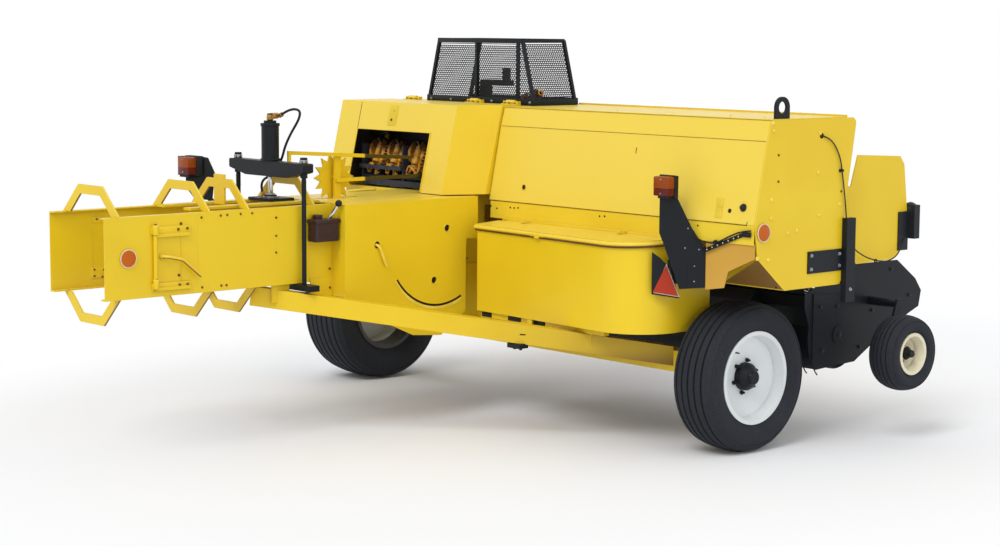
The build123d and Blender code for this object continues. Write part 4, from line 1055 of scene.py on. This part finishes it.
knot_parts = []
for x in (-480, -330, -160):
    knot_parts += [
        put(toothed_disc(62, 18, 9), spot(x + 2, -310, 1290), RIGHT, 7),
        put(toothed_disc(40, 12, 14), spot(x + 48, -344, 1232), (0.2, -1, 0.3)),
        twisted_bar((x + 62, -392, 1196), (x + 40, -330, 1352), 26, 160),
        twisted_bar((x - 26, -388, 1182), (x - 6, -330, 1300), 20, -140),
        coil((x + 66, -372, 1222), (x + 78, -330, 1330), 13, 3.4, 6),
        coil((x - 40, -350, 1190), (x - 36, -300, 1262), 10, 3, 5),
        bent_rod(
            (
                (x - 20, -396, 1200), (x + 10, -404, 1236), (x + 34, -398, 1214),
                (x + 56, -386, 1180),
            ),
            7, 4, bend=16,
        ),
        bent_rod(((x, -300, 1330), (x + 20, -360, 1366), (x + 60, -372, 1330)), 6, 4, bend=18),
        peg((x + 24, -372, 1160), 17, 40, 20, 3, (0.2, 0, 1)),
    ]
fixed("knotter_details", "yellow_inside", *knot_parts)

# ---- guard cage: mesh of flat wires between the bars


def mesh_panel(width, height, left_cut, right_cut, pitch=15.0, row=11.0):
    """Expanded mesh in X and Y; its sides lean inward by left_cut and right_cut at the top"""
    across = (pitch, 0, 0), int(width / pitch)
    pair_up = (0, 2 * row, 0), int(height / row / 2)
    parts = []
    for size, start, steps in (
        ((width, 4.4, 1.2), (0, row / 2), [((0, row, 0), int(height / row))]),
        ((5.6, row, 1.6), (pitch / 2, 0), [across, pair_up]),
        ((5.6, row, 1.6), (pitch, row), [across, pair_up]),
    ):
        deselect()
        bpy.ops.mesh.primitive_cube_add(size=1)
        piece = bpy.context.object
        piece.scale = Vector(size) / 1000
        piece.location = ((start[0] + size[0] / 2) / 1000, (start[1] + size[1] / 2) / 1000, 0)
        apply_place(piece)
        for step, count in steps:
            rows = piece.modifiers.new("rows", "ARRAY")
            rows.count = count
            rows.use_relative_offset = False
            rows.use_constant_offset = True
            rows.constant_offset_displace = Vector(step) / 1000
            bpy.ops.object.modifier_apply(modifier="rows")
        parts.append(piece)
    panel = joined(parts)
    for corner_x, lean, side in ((0, left_cut, -1), (width, -right_cut, 1)):
        if not lean:
            continue
        edit(panel, "SELECT")
        normal = Vector((side * height, -side * lean, 0)).normalized()
        corner = (corner_x / 1000, 0, 0)
        bpy.ops.mesh.bisect(plane_co=corner, plane_no=normal, clear_outer=True, use_fill=True)
        leave_edit()
    return panel


CAGE_LOW, CAGE_HIGH = 1564, 1871
rise = CAGE_HIGH - CAGE_LOW
slope = math.hypot(90, rise)
fixed(
    "cage_mesh", "black",
    lay(mesh_panel(816, rise, 84, 89), spot(-428, -36, CAGE_LOW), RIGHT, UP),
    lay(mesh_panel(282, slope, 0, 0), spot(390, -34, CAGE_LOW), FRONT, (-90, 0, rise)),
)
fixed(
    "cage_spring", "yellow_inside",
    put(toothed_disc(32, 9, 24), spot(300, 70, 1598), (0.3, -1, 0)),
    coil((236, 30, 1588), (286, 30, 1600), 14, 3.4, 4),
    coil((330, 20, 1604), (396, 10, 1616), 12, 3.2, 5),
)
fixed(
    "cage_base_strip", "black",
    plank((-438, -47, 1551), (400, -43, 1586), 1),
    plank((-438, 257, 1551), (400, 261, 1586), 1),
    plank((-352, -46, 1862), (308, -43, 1886), 1),
    plank((398, -46, 1551), (402, 260, 1580), 1),
    plank((-53, -47, 1580), (-37, -43, 1870), 1),
)
fastened(
    "cage_bolts",
    [(x, -47, 1566) for x in (-400, -240, -80, 80, 240, 370)],
    REAR, 0.6, "steel",
)

# ---- rear panel: folded seam, knob, holes and two blank raised plates

PANEL_SLOPE = Vector((0, 75, 369)).normalized()
PANEL_OUT = Vector((0, -369, 75)).normalized()


def on_panel(x, z, out=0.0):
    """A place on the rear panel's outer face"""
    return spot(x, -291.6 + (z - 1088) * 75 / 369, z) + PANEL_OUT * out / 1000


def panel_mark(x, z, width, height, out=0.3, depth=0.8):
    """A thin upright rectangle on the rear panel, from its lower middle"""
    half = width / 2
    sheet = cut_sheet(((-half, 0), (half, 0), (half, height), (-half, height)), depth)
    return lay(sheet, on_panel(x, z, out), RIGHT, PANEL_SLOPE)


# Dark dots as painted shade in the holes of the panel and the wall below it
fixed(
    "panel_marks", "dark_gap",
    put(round_piece(10, 1.2, 20, 0.3), on_panel(1934, 1142), PANEL_OUT),
    put(round_piece(13, 1.2, 24, 0.3), on_panel(580, 1163), PANEL_OUT),
    *[
        peg((x, -290, z), 5, 0.8, 14, 0.2, REAR)
        for x, z in (
            (352, 1056), (397, 1047), (496, 1058), (525, 1058), (553, 1060), (1124, 1060),
            (1158, 1062), (1753, 1063),
        )
    ],
)
# Brown lines as painted shade along the panel's fold and under its lower edge
fixed(
    "panel_lines", "seam",
    plank((346, -292.6, 1084.4), (2045, -290.5, 1087.2), 0.4),
    panel_mark(1215, 1453, 1734, 1.8),
    panel_mark(1304, 1364, 4, 28),
    panel_mark(2045, 1086, 3, 16),
)
knob = lathe([(0, 16), (9, 16), (12, 13), (13, 6), (17, 4.5), (18, 2.5), (18, 0), (0, 0)], 32)
fixed("panel_knob", "plastic", put(knob, on_panel(2011, 1161), PANEL_OUT))
fixed("panel_hole_rim", "yellow", ring(on_panel(580, 1163, 1.0), PANEL_OUT, 13.5, 1.6))
tab_outline = (
    (-21, -19), (-19, -21), (19, -21), (21, -19), (21, 19), (19, 21), (-19, 21), (-21, 19)
)
fixed(
    "panel_blank_plates", "plate",
    *[
        lay(cut_sheet(tab_outline, 1.8, 0.7), on_panel(1872, z, 0.3), RIGHT, PANEL_SLOPE)
        for z in (1128, 1174)
    ],
)

# ---- end plate

fastened(
    "end_plate_bolts",
    [(END_X, y, z) for y, z in ((-143, 1392), (-141, 1275), (298, 1211))],
    RIGHT, 0.5,
)
# Rivets in a paler yellow, a painted highlight on their heads
fastened(
    "end_plate_rivets",
    [
        (END_X, y, z)
        for y, z in (
            (-185, 1533), (-179, 1500), (-187, 1197), (-186, 1114), (131, 1303), (144, 1111),
            (-9, 1049), (-71, 1042), (286, 1154), (-272, 942), (139, 1481), (-200, 930),
        )
    ],
    RIGHT, 1.3, "bolt_yellow", "chassis", RIVET,
)
# Dark discs as painted shade in the end plate's holes
fixed(
    "end_plate_holes", "dark_gap",
    peg((END_X, 150, 1469), 13, 2, 24, 0.5, RIGHT),
    peg((END_X, -142, 803), 6, 1, 16, 0.3, RIGHT),
)
fastened(
    "post_plate_bolts",
    [(2098, 90, 930), (2098, 90, 868), (2098, 290, 926), (2098, 290, 872), (2122, 343, 760)],
    RIGHT, 0.75, "steel",
)
fixed(
    "cable_clips", "plastic",
    ring(spot(END_X + 9, 291, 1306), (0, -0.2, 1), 7, 2.6, 1.6),
    plank((END_X, 278, 1299), (END_X + 4, 306, 1313), 1),
    ring(spot(1872, -303, 998), (1, 0, 0.4), 8, 3, 2.6),
    ring(spot(2050, 620, 865), FRONT, 7, 2.6, 1.6),
)

# ---- lamps


def lamp_lens(name, material, shrink, shares, *stands_for):
    """Both lamps' lenses between two shares of their height; the red body fills the amber one"""
    parts = []
    for (x0, y0, z0), (x1, y1, z1) in (
        ((1611, -438, 1196), (1705, -393, 1285)),
        ((-1030, -1236, 1177), (-930, -1184, 1268)),
    ):
        low, high = (z0 + (z1 - z0) * share for share in shares)
        low_corner = (x0 + shrink, y0 + shrink, low + shrink)
        parts.append(plank(low_corner, (x1 - shrink, y1, high - shrink), 7 - 2 * shrink))
    fitted(name, parts, "chassis", material, *stands_for)


lamp_lens("lamp_lens_amber", "amber_deep", 0, (0.36, 1), "lamp_lenses")
lamp_lens("lamp_lens_red", "red_deep", 1, (0, 1))
fastened(
    "lens_screws",
    [(1658, -438, 1272), (1658, -437, 1208), (-980, -1236, 1256), (-980, -1235, 1190)],
    REAR, 0.35, "steel",
)
STALK = Vector((1, 1, 0)).normalized()
STALK_OUT = Vector((1, -1, 0)).normalized()


def on_stalk(along, z):
    """A place on the right stalk's outer face"""
    return spot(1672, -394, z) + (STALK * along + STALK_OUT * 6.0) / 1000


fixed(
    "stalk_bolts", "steel",
    *[
        put(copied(BOLT), on_stalk(along, z), STALK_OUT, 20, 0.3)
        for along, z in ((86, 1052), (74, 963), (137, 957), (118, 882), (117, 812))
    ],
)
fixed("stalk_side_cover", "yellow", plank((1624.2, -334, 754), (1626.4, -60, 908), 0.8))
# Sheets that close the housing below its strip
lower_wall = cut_sheet(
    ((1799, 1003), (2088, 1003), (2088, 938), (1933, 869), (1911, 795), (1799, 776)), 3
)
# The lower wall is a darker copy of the yellow, painted shade
fixed("house_lower_wall", "yellow_shade", lay(lower_wall, spot(0, -281, 0), RIGHT, UP))
fixed("strip_lip", "yellow", plank((446, -299, 979), (1600, -291, 1004), 2))
# Pierced arm in front of the strip, from the stalk to the panel's end
arm_slope = Vector((229, 0, 90)).normalized()
arm_cross = Vector((-90, 0, 229)).normalized()
arm = cut_sheet(((-8, -9), (234, -9), (240, 0), (234, 9), (-8, 9)), 3, 0.6)
fixed(
    "lamp_arm", "black",
    lay(arm, spot(1805, -296, 956), arm_slope, arm_cross),
    plank((2026, -303, 1034), (2076, -296, 1058), 2),
)
fixed(
    "lamp_arm_holes", "pale",
    *[
        put(round_piece(3.6, 0.8, 14, 0.2), spot(1805, -299, 956) + arm_slope * step / 1000, REAR)
        for step in (14, 48, 82, 116, 150, 184, 214)
    ],
)
left_stalk = (
    (-34, 1172), (-34, 1110), (10, 1050), (104, 1040), (119, 1184), (84, 1262), (56, 1268),
    (40, 1180),
)
left_stalk = cut_sheet(left_stalk, 5, 1)
fixed(
    "left_lamp_plate", "black",
    lay(left_stalk, spot(-1000, -1160, 0) + STALK_OUT * 0.016, STALK, UP),
)
fixed(
    "lamp_bezels", "plastic",
    plank((1607, -395, 1190), (1709, -384, 1291), 5),
    plank((-1036, -1186, 1172), (-924, -1150, 1273), 5),
)
head_profile = [(0, 0), (30, 0), (36, 5), (37, 14), (30, 34), (18, 46), (0, 50)]
lamp_head = put(lathe(head_profile, 40), spot(1990, 944, 1085), (1, -0.25, 0.1))
fixed("front_lamp_head", "plastic", lamp_head)
glass = lathe([(0, 20), (12, 19), (24, 14), (31, 6), (31, 0), (0, 0)], 32)
fixed("front_lamp_glass", "clear", put(glass, spot(1987, 945, 1085), (-1, 0.25, -0.1)))

border = cut_sheet(((-66, -31.5), (52, -49.5), (-10, 104), (-11, 97)), 0.8, 0.2)
fixed("triangle_border", "pale", lay(border, spot(1640, -359, 783) + STALK_OUT * 0.0034, STALK, UP))

# ---- twine box: rounded rim on the lid, latch, feet under the box


def rim_height(y):
    """The lid's edge rises toward the front"""
    return 965 + 0.06 * (y + 463)


LID_CORNER_X, LID_CORNER_Y, LID_CORNER_RADIUS = 1372, -277, 236
rim_route = [(441, -306), (441, -469), (900, -489)]
for step in range(17):
    angle = math.radians(90 * step / 16 - 93)
    x = LID_CORNER_X + LID_CORNER_RADIUS * math.cos(angle)
    rim_route.append((x, LID_CORNER_Y + LID_CORNER_RADIUS * math.sin(angle)))
lid_rim = bent_rod([(x, y, rim_height(y) + 3) for x, y in rim_route], 11, 5)
lid_lip = bent_rod([(x, y, rim_height(y) - 10) for x, y in rim_route], 4, 3)
fitted("lid_rim", [lid_rim], "lid", "yellow")
# The brown lip under the rim is painted shade below the lid's edge
fitted("lid_lip", [lid_lip], "lid", "bolt_brown")
fitted(
    "lid_handle",
    [plank((866, -503, 958), (965, -488, 974), 4), plank((900, -506, 950), (930, -494, 962), 3)],
    "lid", "yellow",
)
fixed(
    "box_feet", "black",
    plank((476, -459, 528), (548, -418, 552), 3),
    plank((668, -459, 528), (760, -418, 552), 3),
    plank((834, -459, 527), (930, -418, 552), 3),
    plank((930, -700, 451), (1015, -640, 474), 3),
)
fastened("brace_plate_bolts", [(952, -670, 451), (994, -670, 451)], (0, 0, -1), 0.9, "cast")
BRACE_ALONG = Vector((1400, 1460, -268)).normalized()
BRACE_OUT = Vector((1460, -1400, 0)).normalized()
slot_share = 0.632  # of the brace's length
slot_place = spot(100 + 1400 * slot_share, -1570 + 1460 * slot_share, 686 - 268 * slot_share)
slot_mark = cut_sheet(((-14, -3), (14, -3), (14, 3), (-14, 3)), 0.8, 0.2)
# A dark mark as painted shade in the brace's slot
fixed("brace_slot", "dark_gap", lay(slot_mark, slot_place + BRACE_OUT * 0.03, BRACE_ALONG, UP))
fastened("box_tab_bolt", [(846, -479, 520)], REAR, 1.0)

# ---- pickup

fitted(
    "pickup_cover_marks",
    [lay(arc_strip(29, 32, 195, 345, 14, 1.2), spot(1856, 591, 500), FRONT, UP)],
    "pickup", "cast",
)
fastened(
    "pickup_bolts",
    [
        (1856, 585, 634), (1856, 850, 590), (1856, 700, 660), (1856, 460, 640), (1856, 480, 430),
        (1856, 760, 420),
    ],
    RIGHT, 0.9, "cast", "pickup",
)
fastened("pickup_edge_bolts", [(1850, 1150, 640), (1850, 1000, 780)], RIGHT, 0.9, "cast", "pickup")

REEL_Y, REEL_Z = 600, 495
TINE_BAR, TINE_BEND, TINE_REACH = 110, 178, 209
COIL_RADIUS = 15


def along_reel(radius, low, high, y=0.0, z=0.0, sides=24):
    """A bar along the reel"""
    piece = round_piece(radius, high - low, sides, 1.0)
    return put(piece, spot(low, REEL_Y + y, REEL_Z + z), RIGHT)


reel_parts = [along_reel(20, 378, 1860), along_reel(30, 394, 1836)]
tine_points = []
for step in range(9):
    t = step / 8
    reach = (1 - t) ** 2 * TINE_BAR + 2 * t * (1 - t) * TINE_BEND + t * t * TINE_REACH
    swing = math.radians(2 * t * (1 - t) * 4 + t * t * 26)
    tine_points.append((0, reach * math.cos(swing), reach * math.sin(swing)))
coil_points = []
for step in range(25):
    angle = math.tau * step / 8
    y, z = COIL_RADIUS * math.cos(angle), COIL_RADIUS * math.sin(angle)
    coil_points.append((2 + step * 0.9, TINE_BAR + y, z))


def from_reel_centre(points):
    """Points about the part's origin, for bent_rod"""
    return [(x - CHAMBER_X, y - AXLE_Y, z) for x, y, z in points]


TINE = [bent_rod(from_reel_centre(tine_points), 3.2, 1)]
TINE = joined(TINE + [bent_rod(from_reel_centre(coil_points), 3.0, 1)])
TINE_COLUMNS, TINE_PITCH = 22, 64.0
column_start = (380 + 1850) / 2 - (TINE_COLUMNS - 1) * TINE_PITCH / 2
for arm in range(4):
    turn_angle = math.radians(45 + 90 * arm)
    y, z = TINE_BAR * math.cos(turn_angle), TINE_BAR * math.sin(turn_angle)
    reel_parts.append(along_reel(12, 396, 1834, y, z, 16))
    for x in (396, 1118, 1826):
        web = cut_sheet(((0, -12), (TINE_BAR, -12), (TINE_BAR, 12), (0, 12)), 8, 1)
        outward = (0, math.cos(turn_angle), math.sin(turn_angle))
        sideways = (0, -math.sin(turn_angle), math.cos(turn_angle))
        reel_parts.append(lay(web, spot(x, REEL_Y, REEL_Z), outward, sideways))
    for column in range(TINE_COLUMNS):
        piece = copied(TINE)
        tine_place = spot(column_start + column * TINE_PITCH, REEL_Y, REEL_Z)
        piece.matrix_world = Matrix.Translation(tine_place) @ Matrix.Rotation(turn_angle, 4, "X")
        reel_parts.append(piece)
deselect()
for part in reel_parts:
    part.select_set(True)
bpy.context.view_layer.objects.active = reel_parts[0]
bpy.ops.object.transform_apply(location=True, rotation=True, scale=True)
fitted("pickup_reel_tines", reel_parts, "reel", "black", "pickup_reel")

# ---- fasteners on top

fastened(
    "top_cover_bolts",
    [(x, y, 1556) for y in (-180, 300) for x in (400, 760, 1120, 1480, 1840, 2040)],
    UP, 0.5, "bolt_yellow",
)
fastened(
    "hood_hinge_bolts",
    [(x + offset, -95, 1560) for x in (-560, -60, 220) for offset in (14, 46)],
    UP, 0.6, "bolt_brown", "hood",
)
deselect()
for pattern in (BOLT, RIVET, STUD, TINE):
    pattern.select_set(True)
bpy.ops.object.delete()

# ---- floor and light

deselect()
bpy.ops.mesh.primitive_plane_add(size=80, location=(0, 0, 0))
floor = bpy.context.object
floor.name = "floor"
ground = Finish("floor_pale")
ground.colour(ground.mix(ground.noise(0.6, 2.0), (245.8, 247.0, 249.3), (248.2, 249.3, 251.6)))
# The floor turns plain white away from the machine's own shadow
across, along = ground.axis("X"), ground.axis("Y")
away = (across * across * 0.16 + along * along * 0.075).band(0.8, 1.8)
ground.set(Roughness=0.9, Specular_IOR_Level=0.0)
seen_floor = Value(ground, ground.node("ShaderNodeLightPath", {}, {}).outputs["Is Camera Ray"])
white = ground.node("ShaderNodeEmission", {}, {"Color": (1, 1, 1, 1), "Strength": 1.0})
blend = ground.node(
    "ShaderNodeMixShader", {},
    {0: seen_floor * away, 1: ground.shader.outputs[0], 2: white.outputs[0]},
)
output = ground.tree.nodes["Material Output"]
ground.tree.links.new(blend.outputs[0], output.inputs["Surface"])
floor.data.materials.append(ground.material)

world = bpy.data.worlds.new("studio")
bpy.context.scene.world = world
world.use_nodes = True
sky = Tree(world.node_tree)
rays = sky.node("ShaderNodeLightPath", {}, {})
seen = Value(sky, rays.outputs["Is Camera Ray"])
for name in ("Is Glossy Ray", "Is Transmission Ray"):
    seen = seen.most(Value(sky, rays.outputs[name]))
background = sky.tree.nodes["Background"]
sky.tree.links.new((seen * 0.26 + 0.74).socket, background.inputs["Strength"])
background.inputs["Color"].default_value = (1, 1, 1, 1)


def sun(name, toward, strength, angle):
    """A soft lamp that shines toward a direction"""
    data = bpy.data.lights.new(name, "SUN")
    data.energy = strength
    data.angle = math.radians(angle)
    lamp = linked(bpy.data.objects.new(name, data))
    lamp.rotation_euler = Vector(toward).to_track_quat("-Z", "Y").to_euler()


sun("key", (-0.25, 0.75, -0.85), 1.1, 25)
sun("fill", (-0.9, 0.1, -0.45), 0.35, 40)

bpy.context.scene.view_settings.view_transform = "Standard"
